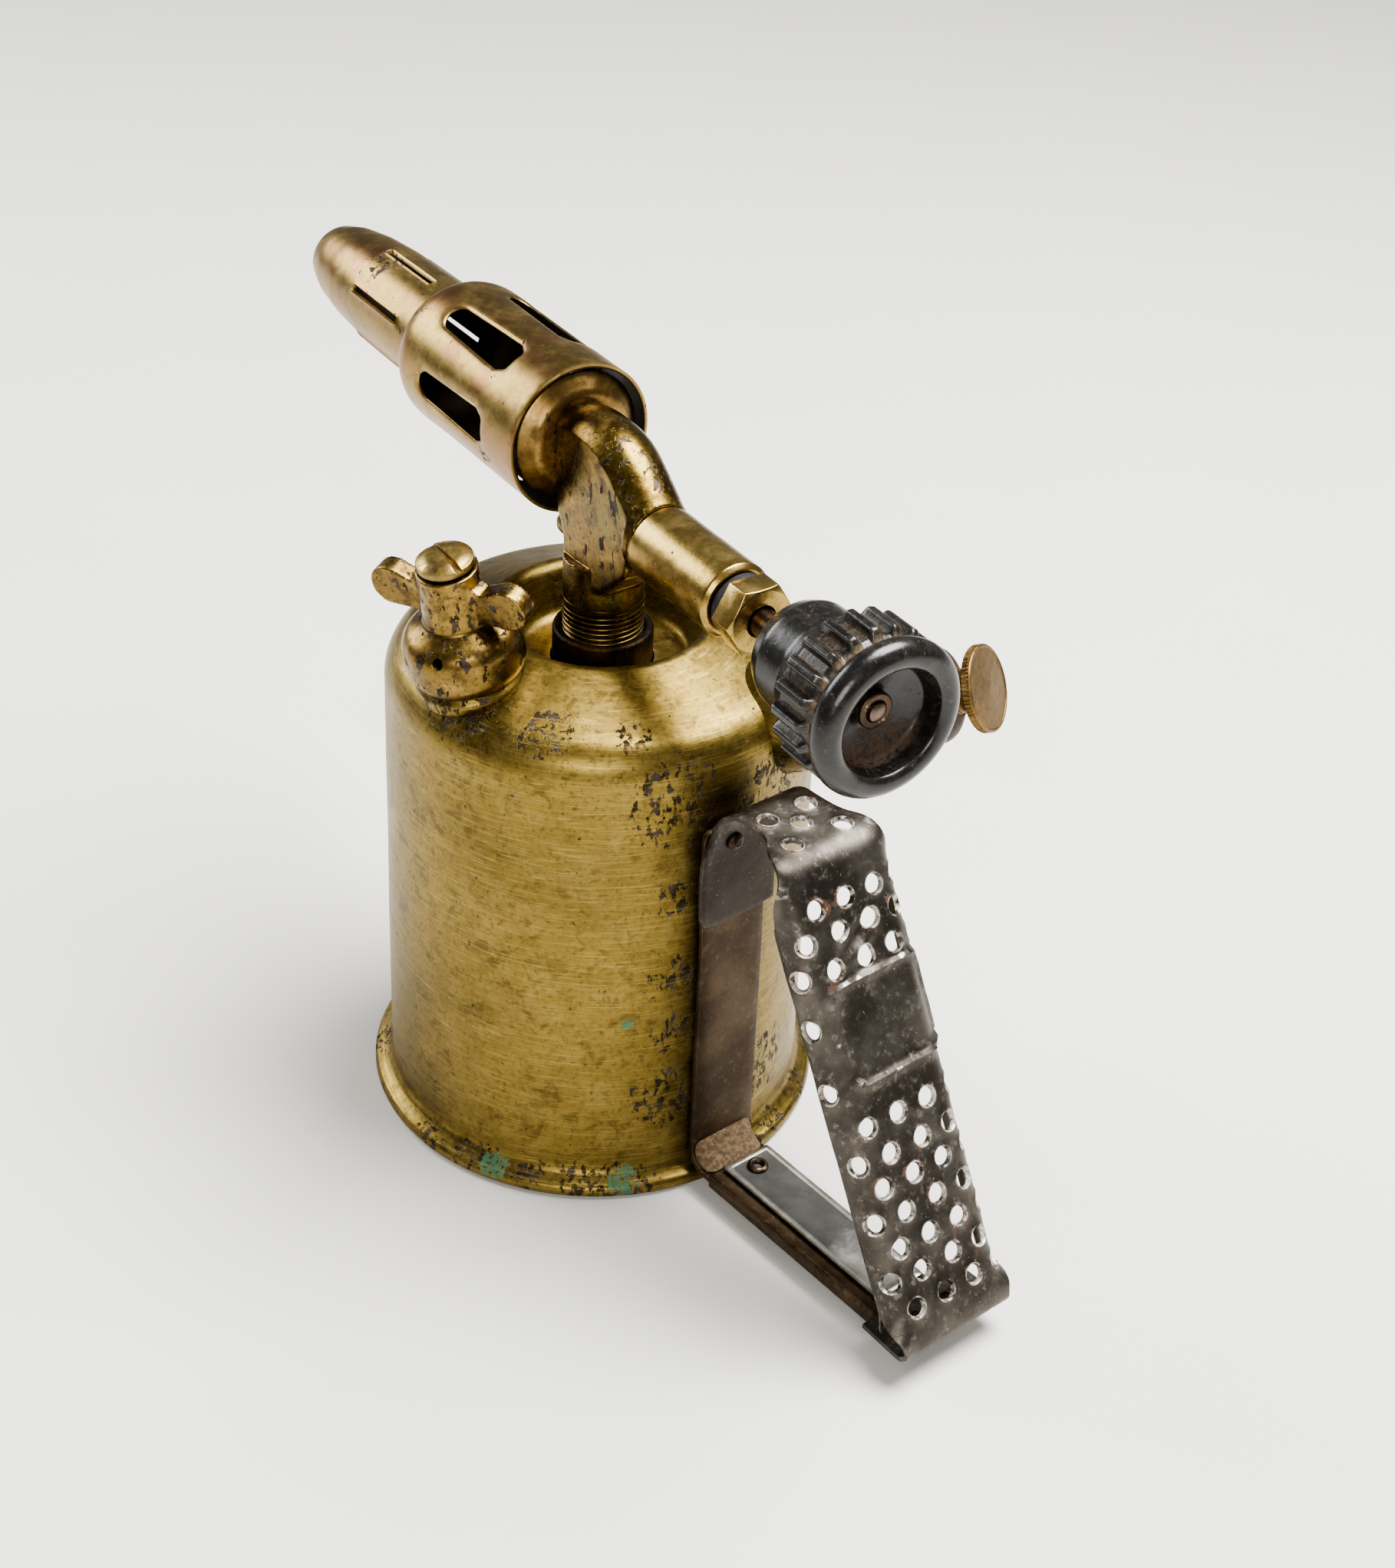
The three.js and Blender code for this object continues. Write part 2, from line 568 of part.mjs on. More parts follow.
function pistonLeather() {
  const outline = [
    [1.8, PISTON_AT], [BARREL_BORE - RUNNING_GAP - 1.2, PISTON_AT], [BARREL_BORE - RUNNING_GAP - 1, PISTON_AT - 3.4],
    [BARREL_BORE - RUNNING_GAP, PISTON_AT - 3.4], [BARREL_BORE - RUNNING_GAP, PISTON_AT + 1],
    [BARREL_BORE - RUNNING_GAP - 0.5, PISTON_AT + 1.5], [1.8, PISTON_AT + 1.5],
  ];
  return piece('piston_leather', solid(turned(outline, SMALL_SEGMENTS)), LEATHER);
}

const pistonNut = () => piece('piston_nut', solid(cutHex(6, PISTON_AT - 3.2, PISTON_AT - GAP)), BRASS);

function cutHex(acrossFlats, low, high) {
  const circle = acrossFlats / Math.sqrt(3);
  const outline = arc(0, 0, circle, 0, 300, 5);
  const shape = new THREE.Shape(outline.map(([x, y]) => new THREE.Vector2(x, y)));
  shape.holes.push(new THREE.Path().absarc(0, 0, 1.8, 0, 2 * Math.PI, true));
  return new THREE.ExtrudeGeometry(shape, { depth: high - low, bevelEnabled: false, curveSegments: 12 })
    .translate(0, 0, low);
}

// Non-return valve screwed into the barrel's end; air leaves through its foot.
function checkValveBody() {
  const outline = [
    [0.8, BARREL_IN + 3.6], [4.6, BARREL_IN + 3.6], [4.6, BARREL_IN + 1.5], [3, BARREL_IN + 1.5],
    [3, BARREL_IN - GAP], [4, BARREL_IN - GAP], [4, BARREL_IN - 8], [1, BARREL_IN - 8],
    [1, BARREL_IN - 7], [2.4, BARREL_IN - 7], [2.4, BARREL_IN + 2.4], [0.8, BARREL_IN + 2.4],
  ];
  return piece('check_valve_body', solid(turned(outline, 12)), BRASS);
}

const checkValvePip = () => piece('check_valve_pip', solid(bar(1.9, BARREL_IN - 0.4, BARREL_IN + 2.1, 12)), RUBBER);

function checkValveSpring() {
  const turns = 3;
  const [low, high] = [BARREL_IN - 6.4, BARREL_IN - 1];
  const points = Array.from({ length: turns * 8 + 1 }, (_, i) => {
    const angle = (i / 8) * 2 * Math.PI;
    return new THREE.Vector3(1.6 * Math.cos(angle), 1.6 * Math.sin(angle), low + ((high - low) * i) / (turns * 8));
  });
  const wire = new THREE.Shape().absarc(0, 0, 0.3, 0, 2 * Math.PI);
  const coil = new THREE.ExtrudeGeometry(wire,
    { extrudePath: new THREE.CatmullRomCurve3(points), steps: turns * 8, curveSegments: 2 });
  return piece('check_valve_spring', solid(coil), STEEL);
}

// ---- Handle, with local X pointing out from the tank ----------------------------------------

const STRIP_FACE = TANK_FOOT_RADIUS + 0.6 + STRIP_THICK; // outer face of the upright strip
const FOOT_TOP = 5.1;
const FOOT_END = 109;
const GRIP_SLOPE = 62; // degrees from the floor
const GRIP_TOP = 92;
const GRIP_BEND = 64; // where the top panel bends into the grip
const TAB_BACK = STRIP_FACE + GAP; // back of the grip's tab, which lies on the strip
const RIVET_HOLE = 1.5;
const TOP_RIVET_HEIGHT = 83;
const TOP_RIVET_SIDE = -4;
const FOOT_RIVET_OUT = 104;
const FOOT_RIVET_SIDES = [-4, 4];
const LABEL_RIVET_OUT = 54;

// Rivet holes through the strip's and the grip's overlapping ends.
const endHoles = () => [
  solid(barAlongX(RIVET_HOLE, STRIP_FACE - 5, STRIP_FACE + 5, TOP_RIVET_HEIGHT, 10)).translate([0, TOP_RIVET_SIDE, 0]),
  ...FOOT_RIVET_SIDES.map((y) => solid(bar(RIVET_HOLE, 0, 10, 10).translate(FOOT_RIVET_OUT, y, 0))),
];

// Upright strip soldered to the tank, bent out into the foot, with edges folded under the foot.
function handleBracket() {
  const line = [
    [STRIP_FACE, 86], [STRIP_FACE, FOOT_TOP + 3], ...arc(STRIP_FACE + 3, FOOT_TOP + 3, 3, 180, 270, 3).slice(1),
    [FOOT_END, FOOT_TOP],
  ];
  const bent = solid(strip(sheet(line, STRIP_THICK), STRIP_WIDTH).translate(0, STRIP_MIDDLE, 0));
  const folds = [1, -1].map((side) =>
    solid(box(76.5, STRIP_MIDDLE + side * (STRIP_WIDTH / 2 - 0.5), FOOT_TOP - 2, 53, 1, 3.2)));
  const labelHole = solid(bar(1.4, 0, 10, 10).translate(LABEL_RIVET_OUT, 0, 0));
  return piece('handle_bracket', cut(joined(bent, ...folds), ...endHoles(), labelHole), RUSTY_STEEL);
}

// The grip's line from the tab on the strip, over the top and down to the lip on the foot.
const gripDrop = Math.tan(radians(GRIP_SLOPE));
const gripLine = [
  [TAB_BACK, 65],
  ...arc(TAB_BACK + 6, GRIP_TOP - 6, 6, 180, 90, 4),
  ...arc(GRIP_BEND, GRIP_TOP - 6, 6, 90, 90 - GRIP_SLOPE, 4),
];
const [gripStartX, gripStartZ] = gripLine.at(-1);
const GRIP_FOOT_Z = 10.5;
const gripEndX = gripStartX + (gripStartZ - GRIP_FOOT_Z) / gripDrop;
const gripLength = Math.hypot(gripEndX - gripStartX, gripStartZ - GRIP_FOOT_Z);

// A point so far down the grip's slope, and so deep behind its face.
const onGrip = (distance, depth = 0) => [
  gripStartX + distance * Math.cos(radians(GRIP_SLOPE)) - depth * Math.sin(radians(GRIP_SLOPE)),
  gripStartZ - distance * Math.sin(radians(GRIP_SLOPE)) - depth * Math.cos(radians(GRIP_SLOPE)),
];

// The tab and the arch over the tank are narrower than the grip: each side's cutter in plan.
const WAIST_SIDES = [
  [[43, 6.6], [46.5, 6.6], [50.9, 9], [56, 9.6], [62, 11], [68, 14], [68, 20], [43, 20]],
  [[43, -11.3], [46.5, -11.3], [50.9, -7], [55, -6.8], [61, -9], [68, -14], [68, -20], [43, -20]],
];

// Rows of punched holes: how far down the slope, and where across the face.
const GRIP_HOLES = [
  [5.5, [-7, 0, 7]],
  [11, [-10.2, -3.1, 4.1]],
  [17.2, [-6.4, 1.2, 7.9]],
  ...[47.1, 59.1, 71.1, 83.1].map((distance) => [distance, [-8.6, -1.2, 6]]),
  ...[53.5, 65.1, 76.9].map((distance) => [distance, [-5.2, 2.6, 9.6]]),
];
const ARCH_HOLES = [[54, -3.6], [54, 5.6], [58, 1], [62.5, -5], [62.5, 7], [49.5, 1]];
const FLANGE_HOLES = [27, 39.5];

function handleGrip() {
  const lipTop = FOOT_TOP + GAP + GRIP_THICK;
  const foot = [[gripEndX, GRIP_FOOT_Z], [gripEndX + 0.8, lipTop + 0.6], [gripEndX - 0.8, lipTop - GRIP_THICK]];
  const line = [...gripLine, foot[0], foot[1], foot[2], [99, lipTop - GRIP_THICK]];
  const bent = solid(strip(sheet(line, GRIP_THICK), GRIP_WIDTH));
  const flange = [onGrip(1), onGrip(gripLength), onGrip(gripLength - 2, 5), onGrip(3, 5)];
  const flanges = [1, -1].map((side) =>
    solid(strip(flange, 1).translate(0, side * (GRIP_WIDTH / 2 - 0.5), 0)));
  const waist = WAIST_SIDES.map((outline) => solid(prism(outline, 50).translate(0, 0, 55)));
  const holes = [];
  for (const [distance, places] of GRIP_HOLES) {
    const [x, z] = onGrip(distance);
    places.forEach((y) =>
      holes.push(solid(bar(HOLE_RADIUS, -4, 4, 6).rotateY(radians(90 - GRIP_SLOPE)).translate(x, y, z))));
  }
  for (const [x, y] of ARCH_HOLES) {
    holes.push(solid(bar(HOLE_RADIUS, GRIP_TOP - 5, GRIP_TOP + 4, 6).translate(x, y, 0)));
  }
  for (const distance of FLANGE_HOLES) {
    const [x, z] = onGrip(distance, 3);
    holes.push(solid(bar(1.4, -20, 20, 6).rotateX(Math.PI / 2).translate(x, 0, z)));
  }
  return piece('handle_grip', cut(joined(bent, ...flanges), ...waist, ...holes, ...endHoles()), RUSTY_STEEL);
}

// A button-headed rivet along Z between two sheets' outer faces.
function rivetShape(low, high, radius, head) {
  const top = high + 0.2;
  return turned([
    [0, low], [radius, low], [radius, top], [head, top], [head * 0.8, top + 0.8], [0, top + 1.1],
  ], 12);
}

function topRivet() {
  const rivet = rivetShape(STRIP_FACE - STRIP_THICK + 0.1, TAB_BACK + GRIP_THICK, 1.2, 1.8);
  const place = [0, TOP_RIVET_SIDE, TOP_RIVET_HEIGHT];
  return piece('handle_top_rivet', solid(rivet.rotateY(Math.PI / 2).translate(...place)), STEEL);
}

function footRivet(name, y) {
  const rivet = rivetShape(FOOT_TOP - STRIP_THICK, FOOT_TOP + GAP + GRIP_THICK, 1.2, 2.2);
  return piece(name, solid(rivet.translate(FOOT_RIVET_OUT, y, 0)), STEEL);
}

function labelPlate() {
  const plate = solid(box(73, 0, FOOT_TOP + GAP + 0.3, 46, 11.6, 0.6));
  const hole = solid(bar(1.4, 0, 10, 10).translate(LABEL_RIVET_OUT, 0, 0));
  return piece('label_plate', cut(plate, hole), PLATE_SILVER);
}

function labelRivet() {
  const rivet = rivetShape(FOOT_TOP - STRIP_THICK, FOOT_TOP + GAP + 0.6, 1.1, 2);
  return piece('label_rivet', solid(rivet.translate(LABEL_RIVET_OUT, 0, 0)), DARK_BRASS);
}

// ---- Assembly --------------------------------------------------------------------------

const blowlamp = new THREE.Group();
blowlamp.add(
  tankShell(), tankBase(), burnerBoss(), pickupTube(), pickupStrainer(), burnerCasting(),
  groupAt(burnerFrame, backPlate(), tubeCarrier(), jetNipple(), burnerTube(), burnerNozzle()),
  groupAt(valveFrame, stuffingBox(), glandPacking(), glandNut(), valveCone(), valveSpindle(), valveKnob(),
    knobWasher()),
  groupAt(fillerFrame, fillerNeck(), fillerSeal(), fillerCap(), releaseSeal(), releaseScrew()),
  groupAt(pumpFrame, pumpBoss(), pumpBarrel(), pumpCap(), pumpRod(), pumpKnob(), pistonWasher(), pistonLeather(),
    pistonNut(), checkValveBody(), checkValvePip(), checkValveSpring()),
  groupAt(handleFrame, handleBracket(), handleGrip(), topRivet(),
    footRivet('handle_foot_rivet_right', FOOT_RIVET_SIDES[0]),
    footRivet('handle_foot_rivet_left', FOOT_RIVET_SIDES[1]), labelPlate(), labelRivet()),
);

export default blowlamp;
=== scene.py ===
"""Looks of a brass blowlamp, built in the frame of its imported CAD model.
"""

import json
import math

import bpy
import numpy as np
from mathutils import Matrix, Vector, noise
from mathutils.geometry import delaunay_2d_cdt


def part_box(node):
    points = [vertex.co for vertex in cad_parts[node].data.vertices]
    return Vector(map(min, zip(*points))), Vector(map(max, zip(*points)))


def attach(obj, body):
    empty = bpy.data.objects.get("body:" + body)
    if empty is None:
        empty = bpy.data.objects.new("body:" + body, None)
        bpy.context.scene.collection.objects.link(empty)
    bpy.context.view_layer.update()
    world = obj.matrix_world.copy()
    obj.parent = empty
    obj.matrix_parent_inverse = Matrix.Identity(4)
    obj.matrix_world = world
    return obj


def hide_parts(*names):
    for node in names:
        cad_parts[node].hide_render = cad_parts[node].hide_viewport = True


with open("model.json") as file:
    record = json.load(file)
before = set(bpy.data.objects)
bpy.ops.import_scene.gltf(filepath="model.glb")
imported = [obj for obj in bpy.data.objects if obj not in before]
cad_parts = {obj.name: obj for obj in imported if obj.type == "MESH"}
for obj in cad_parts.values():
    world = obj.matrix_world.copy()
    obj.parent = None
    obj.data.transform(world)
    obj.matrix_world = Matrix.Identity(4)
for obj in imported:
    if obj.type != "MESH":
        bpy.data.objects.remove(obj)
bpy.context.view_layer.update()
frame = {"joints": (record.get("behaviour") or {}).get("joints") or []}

MM = 0.001
TANK_RADIUS = 42
DASH = 14.0  # how many times longer than wide a scratch is


def shift(x, y, z):
    return Matrix.Translation((x, y, z))


def spin(degrees, axis):
    return Matrix.Rotation(math.radians(degrees), 4, axis)


# ---- Frames of the groups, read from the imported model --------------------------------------


def joint_frame(name, position=None):
    """The frame whose Z runs along a joint's axis, turned about the vertical towards it."""
    joint = next(j for j in frame["joints"] if j["name"] == name)
    axis = Vector(joint["axis"])
    place = Vector(joint["pos_m"]) / MM if position is None else Vector(position)
    turn = math.atan2(axis.y, axis.x)
    tilt = math.acos(max(-1.0, min(1.0, axis.z)))
    return Matrix.Translation(place) @ Matrix.Rotation(turn, 4, "Z") @ Matrix.Rotation(tilt, 4, "Y")


def middle(node):
    low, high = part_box(node)
    return (low + high) / 2 / MM


BURNER_HEIGHT = middle("burner_tube").z
VALVE_HEIGHT = middle("stuffing_box").z
BURNER = shift(0, 0, BURNER_HEIGHT) @ spin(-90, "Y")
VALVE = joint_frame("valve_turn", (0, 0, VALVE_HEIGHT))
FILLER = joint_frame("filler_turn")
PUMP = joint_frame("pump_turn")
HANDLE = spin(6.2, "Z")

# ---- Outlines ----------------------------------------------------------------------------


def arc(x, y, radius, start, end, steps):
    """Points on an arc, with its angles in degrees."""
    angles = [math.radians(start + (end - start) * k / steps) for k in range(steps + 1)]
    return [(x + radius * math.cos(a), y + radius * math.sin(a)) for a in angles]


def rounded(corners, steps):
    """A closed outline of (x, y) or (x, y, radius) corners, with arcs for those with a radius."""
    points = []
    for k, corner in enumerate(corners):
        here = Vector(corner[:2])
        radius = corner[2] if len(corner) > 2 else 0
        before = Vector(corners[k - 1][:2]) - here
        after = Vector(corners[(k + 1) % len(corners)][:2]) - here
        half = before.angle(after, math.pi) / 2
        if radius <= 0 or half > math.radians(88):
            points.append(tuple(here))
            continue
        reach = min(radius / math.tan(half), before.length * 0.48, after.length * 0.48)
        size = reach * math.tan(half)
        middle_way = (before.normalized() + after.normalized()).normalized()
        centre = here + middle_way * (size / math.sin(half))
        first = here + before.normalized() * reach - centre
        last = here + after.normalized() * reach - centre
        for step in range(steps + 1):
            points.append(tuple(centre + first.lerp(last, step / steps).normalized() * size))
    return points


def offset(line, distance):
    """The open line moved sideways to its right, with mitred corners."""
    ways = [(Vector(b) - Vector(a)).normalized() for a, b in zip(line, line[1:])]
    normals = [Vector((way.y, -way.x)) for way in ways]
    moved = []
    for k, point in enumerate(line):
        before = normals[max(k - 1, 0)]
        after = normals[min(k, len(normals) - 1)]
        moved.append(tuple(Vector(point) + (before + after) * (distance / (1 + before.dot(after)))))
    return moved


def resampled(points, spacing, closed=False):
    """The same line with extra points, so that no stretch is longer than the spacing."""
    ends = list(points) + [points[0]] if closed else list(points)
    result = []
    for a, b in zip(ends, ends[1:]):
        count = max(1, math.ceil((Vector(b) - Vector(a)).length / spacing))
        result += [tuple(Vector(a).lerp(Vector(b), k / count)) for k in range(count)]
    return result if closed else result + [tuple(ends[-1])]


def smooth(low, high, value):
    share = min(1.0, max(0.0, (value - low) / (high - low)))
    return share * share * (3 - 2 * share)


def ripple(point, size, seed):
    """Smooth noise from -1 to 1 whose waves are about size long."""
    return noise.noise(Vector(point) / size + Vector((seed, seed * 2.3, seed * 5.1)))


# ---- Solids ------------------------------------------------------------------------------


def solid(points, faces):
    mesh = bpy.data.meshes.new("shape")
    mesh.from_pydata([tuple(p) for p in points], [], faces)
    mesh.update()
    shape = bpy.data.objects.new("shape", mesh)
    bpy.context.scene.collection.objects.link(shape)
    return shape


def settle(shape):
    """Applies the modifiers to the mesh."""
    graph = bpy.context.evaluated_depsgraph_get()
    mesh = bpy.data.meshes.new_from_object(shape.evaluated_get(graph))
    shape.modifiers.clear()
    shape.data = mesh
    return shape


def moved(shape, matrix):
    shape.data.transform(matrix)
    return shape


def joined(*shapes):
    """Several closed shapes in one mesh."""
    points, faces = [], []
    for shape in shapes:
        start = len(points)
        points += [vertex.co.copy() for vertex in shape.data.vertices]
        faces += [[start + k for k in face.vertices] for face in shape.data.polygons]
        bpy.data.objects.remove(shape)
    return solid(points, faces)


def carved(shape, *tools, operation="DIFFERENCE"):
    """Cuts the tools out of the shape and removes them."""
    for tool in tools:
        change = shape.modifiers.new("carve", "BOOLEAN")
        change.operation = operation
        change.solver = "EXACT"
        change.object = tool
    settle(shape)
    for tool in tools:
        bpy.data.objects.remove(tool)
    return shape


def fused(shape, voxel, passes):
    """Makes one skin of overlapping solids and softens it, as a casting is."""
    change = shape.modifiers.new("fuse", "REMESH")
    change.mode = "VOXEL"
    change.voxel_size = voxel
    soften = shape.modifiers.new("soften", "SMOOTH")
    soften.factor = 0.5
    soften.iterations = passes
    return settle(shape)


def bevelled(shape, width, segments, angle=40):
    change = shape.modifiers.new("bevel", "BEVEL")
    change.width = width
    change.segments = segments
    change.limit_method = "ANGLE"
    change.angle_limit = math.radians(angle)
    return settle(shape)


def strips(rows):
    """The four-sided faces between closed rows of point numbers."""
    faces = []
    for low, high in zip(rows, rows[1:]):
        for k in range(len(low)):
            after = (k + 1) % len(low)
            faces.append([low[k], low[after], high[after], high[k]])
    return faces


def faces_out(faces, outline):
    """The faces, turned over if the outline runs clockwise."""
    area = sum(a[0] * b[1] - b[0] * a[1] for a, b in zip(outline, outline[1:] + outline[:1]))
    return [face[::-1] for face in faces] if area < 0 else faces


def turned(outline, segments, change=None):
    """A solid of revolution about Z from (radius, height) points. change(angle, radius, height)
    may give each point another radius and height."""
    on_axis = [abs(radius) < 1e-6 for radius, _ in outline]
    closed = not (on_axis[0] and on_axis[-1])
    points, rows = [], []
    for (radius, height), pole in zip(outline, on_axis):
        if pole:
            rows.append([len(points)] * segments)
            points.append((0, 0, height))
            continue
        row = []
        for k in range(segments):
            angle = 2 * math.pi * k / segments
            r, h = change(angle, radius, height) if change else (radius, height)
            row.append(len(points))
            points.append((r * math.cos(angle), r * math.sin(angle), h))
        rows.append(row)
    if closed:
        rows.append(rows[0])
    faces = []
    for corners in strips(rows):
        face = [c for i, c in enumerate(corners) if c != corners[i - 1]]
        if len(face) > 2:
            faces.append(face)
    return solid(points, faces_out(faces, outline))


def prism(outline, height):
    """An outline in X and Y that rises along Z."""
    count = len(outline)
    points = [(x, y, z) for z in (0, height) for x, y in outline]
    rows = [list(range(count)), list(range(count, 2 * count))]
    faces = strips(rows) + [rows[0][::-1], rows[1]]
    return solid(points, faces_out(faces, outline))


def upright_slab(outline, width):
    """An outline in X and Z made into a slab of the given width, centred on Y."""
    shape = prism(outline, width)
    return moved(shape, shift(0, width / 2, 0) @ spin(90, "X"))


def swept(path, radius, sides):
    """A round bar along a smooth path in X and Z."""
    points = []
    for k, (x, z) in enumerate(path):
        ahead = Vector(path[min(k + 1, len(path) - 1)]) - Vector(path[max(k - 1, 0)])
        normal = Vector((-ahead.y, ahead.x)).normalized()
        for side in range(sides):
            angle = 2 * math.pi * side / sides
            out, across = radius * math.cos(angle), radius * math.sin(angle)
            points.append((x + normal.x * out, across, z + normal.y * out))
    rows = [list(range(k, k + sides)) for k in range(0, len(points), sides)]
    return solid(points, [rows[0][::-1], rows[-1]] + strips(rows))


def box(x, y, z, dx, dy, dz):
    """A block centred on a place."""
    signs = ((-1, -1), (1, -1), (1, 1), (-1, 1))
    outline = [(x + a * dx / 2, y + b * dy / 2) for a, b in signs]
    return moved(prism(outline, dz), shift(0, 0, z - dz / 2))


def bar(radius, low, high, segments=48, bore=0):
    """A round bar or a tube along Z."""
    return turned([(bore, low), (radius, low), (radius, high), (bore, high)], segments)


def curve_through(corners, steps):
    """A smooth line through a few points (Catmull-Rom)."""
    points = [Vector(c) for c in corners]
    points = [2 * points[0] - points[1]] + points + [2 * points[-1] - points[-2]]
    line = []
    for a, b, c, d in zip(points, points[1:], points[2:], points[3:]):
        for step in range(steps):
            t = step / steps
            line.append(tuple(0.5 * (2 * b + (c - a) * t + (2 * a - 5 * b + 4 * c - d) * t * t
                                     + (3 * b - a - 3 * c + d) * t ** 3)))
    return line + [tuple(points[-2])]


# ---- Bent sheet with punched holes -----------------------------------------------------------

FAR = 1e6
CHUNK = 200  # how many points are compared at once


def inside(points, loop):
    """Which of the points lie inside the loop."""
    x, y = points[:, 0], points[:, 1]
    result = np.zeros(len(points), bool)
    for (ax, ay), (bx, by) in zip(loop, loop[1:] + loop[:1]):
        if ay == by:
            continue
        crosses = (ay > y) != (by > y)
        result ^= crosses & (x < (bx - ax) * (y - ay) / (by - ay) + ax)
    return result


def in_sheet(points, border, holes):
    keep = inside(points, border)
    for hole in holes:
        keep &= ~inside(points, hole)
    return keep


def gaps_to(points, others):
    """Each point's distance to the nearest of the others."""
    gaps = np.full(len(points), FAR)
    for start in range(0, len(others), CHUNK):
        part = others[start:start + CHUNK]
        away = np.linalg.norm(points[:, None, :] - part[None, :, :], axis=2).min(axis=1)
        gaps = np.minimum(gaps, away)
    return gaps


def widened(loop, distance):
    """The closed loop grown by a distance."""
    centre = Vector(np.mean(np.array(loop), axis=0))
    grown = []
    for k, point in enumerate(loop):
        way = Vector(loop[(k + 1) % len(loop)]) - Vector(loop[k - 1])
        normal = Vector((way.y, -way.x)).normalized()
        if normal.dot(Vector(point) - centre) < 0:
            normal.negate()
        grown.append(tuple(Vector(point) + normal * distance))
    return grown


def sheet(outline, holes, surface, spacing, thickness, relief, guides=(), closed=False):
    """A flat outline with holes, bent onto surface(u, v), which gives a point and its outward
    normal, and thickened inwards. relief(u, v, gap) moves it outwards, where gap is the
    distance to the nearest hole."""
    border = resampled(outline, spacing, closed=True)
    points, edges = [], []
    for loop in [border, *holes]:
        start = len(points)
        points += loop
        edges += [(start + k, start + (k + 1) % len(loop)) for k in range(len(loop))]
    fixed = np.array(points, float)
    fixed_holes = fixed[len(border):]
    extra = [p for hole in holes for ring in (0.3, 0.75) for p in widened(hole, ring)]
    extra += guides
    low, high = fixed.min(axis=0), fixed.max(axis=0)
    columns = np.arange(low[0] + spacing / 2, high[0], spacing)
    rows = np.arange(low[1] + spacing / 2, high[1], spacing)
    grid = np.array([(u, v + (i % 2) * spacing / 2) for i, u in enumerate(columns) for v in rows])
    for candidates, gap in ((np.array(extra, float).reshape(-1, 2), 0.16), (grid, spacing * 0.55)):
        if not len(candidates):
            continue
        candidates = candidates[in_sheet(candidates, border, holes)]
        fixed = np.vstack([fixed, candidates[gaps_to(candidates, fixed) >= gap]])
    flat, _, triangles, *_ = delaunay_2d_cdt([Vector(p) for p in fixed], edges, [], 0, 1e-6)
    flat = np.array([tuple(p) for p in flat])
    middles = np.array([flat[list(t)].mean(axis=0) for t in triangles])
    triangles = [t for t, kept in zip(triangles, in_sheet(middles, border, holes)) if kept]
    gaps = gaps_to(flat, fixed_holes)
    places, outward = [], []
    for (u, v), gap in zip(flat, gaps):
        point, normal = surface(u, v)
        places.append(point + normal * relief(u, v, gap))
        outward.append(normal)
    a, b, c = (places[k] for k in triangles[0])
    if (b - a).cross(c - a).dot(outward[triangles[0][0]]) < 0:
        triangles = [t[::-1] for t in triangles]
    shape = solid(places, triangles)
    rim = shape.data.attributes.new("rim", "FLOAT", "POINT")
    rim.data.foreach_set("value", np.exp(-gaps / 0.7).astype(np.float32))
    if closed:
        weld = shape.modifiers.new("weld", "WELD")
        weld.merge_threshold = 1e-3
    thick = shape.modifiers.new("thickness", "SOLIDIFY")
    thick.thickness = thickness
    thick.offset = -1
    return bevelled(shape, 0.13, 2, 50)


def track(points):
    """A line by its length: place(s) gives the point and the unit direction there."""
    lengths = [0.0]
    for a, b in zip(points, points[1:]):
        lengths.append(lengths[-1] + (Vector(b) - Vector(a)).length)
    corners = np.array(points, float)
    ways = np.diff(corners, axis=0)
    ways /= np.linalg.norm(ways, axis=1)[:, None]
    at_corner = np.vstack([ways[:1], (ways[1:] + ways[:-1]) / 2, ways[-1:]])

    def place(s):
        s = min(max(s, 0.0), lengths[-1])
        point = [np.interp(s, lengths, corners[:, k]) for k in (0, 1)]
        way = [np.interp(s, lengths, at_corner[:, k]) for k in (0, 1)]
        return Vector(point), Vector(way).normalized()

    return place, lengths[-1]


# ---- Materials ---------------------------------------------------------------------------


def tone(*levels):
    """An sRGB colour from 0 to 255 as the linear colour that shaders take."""
    linear = [((c / 255 + 0.055) / 1.055) ** 2.4 if c > 10 else c / 255 / 12.92 for c in levels]
    return (*linear, 1)


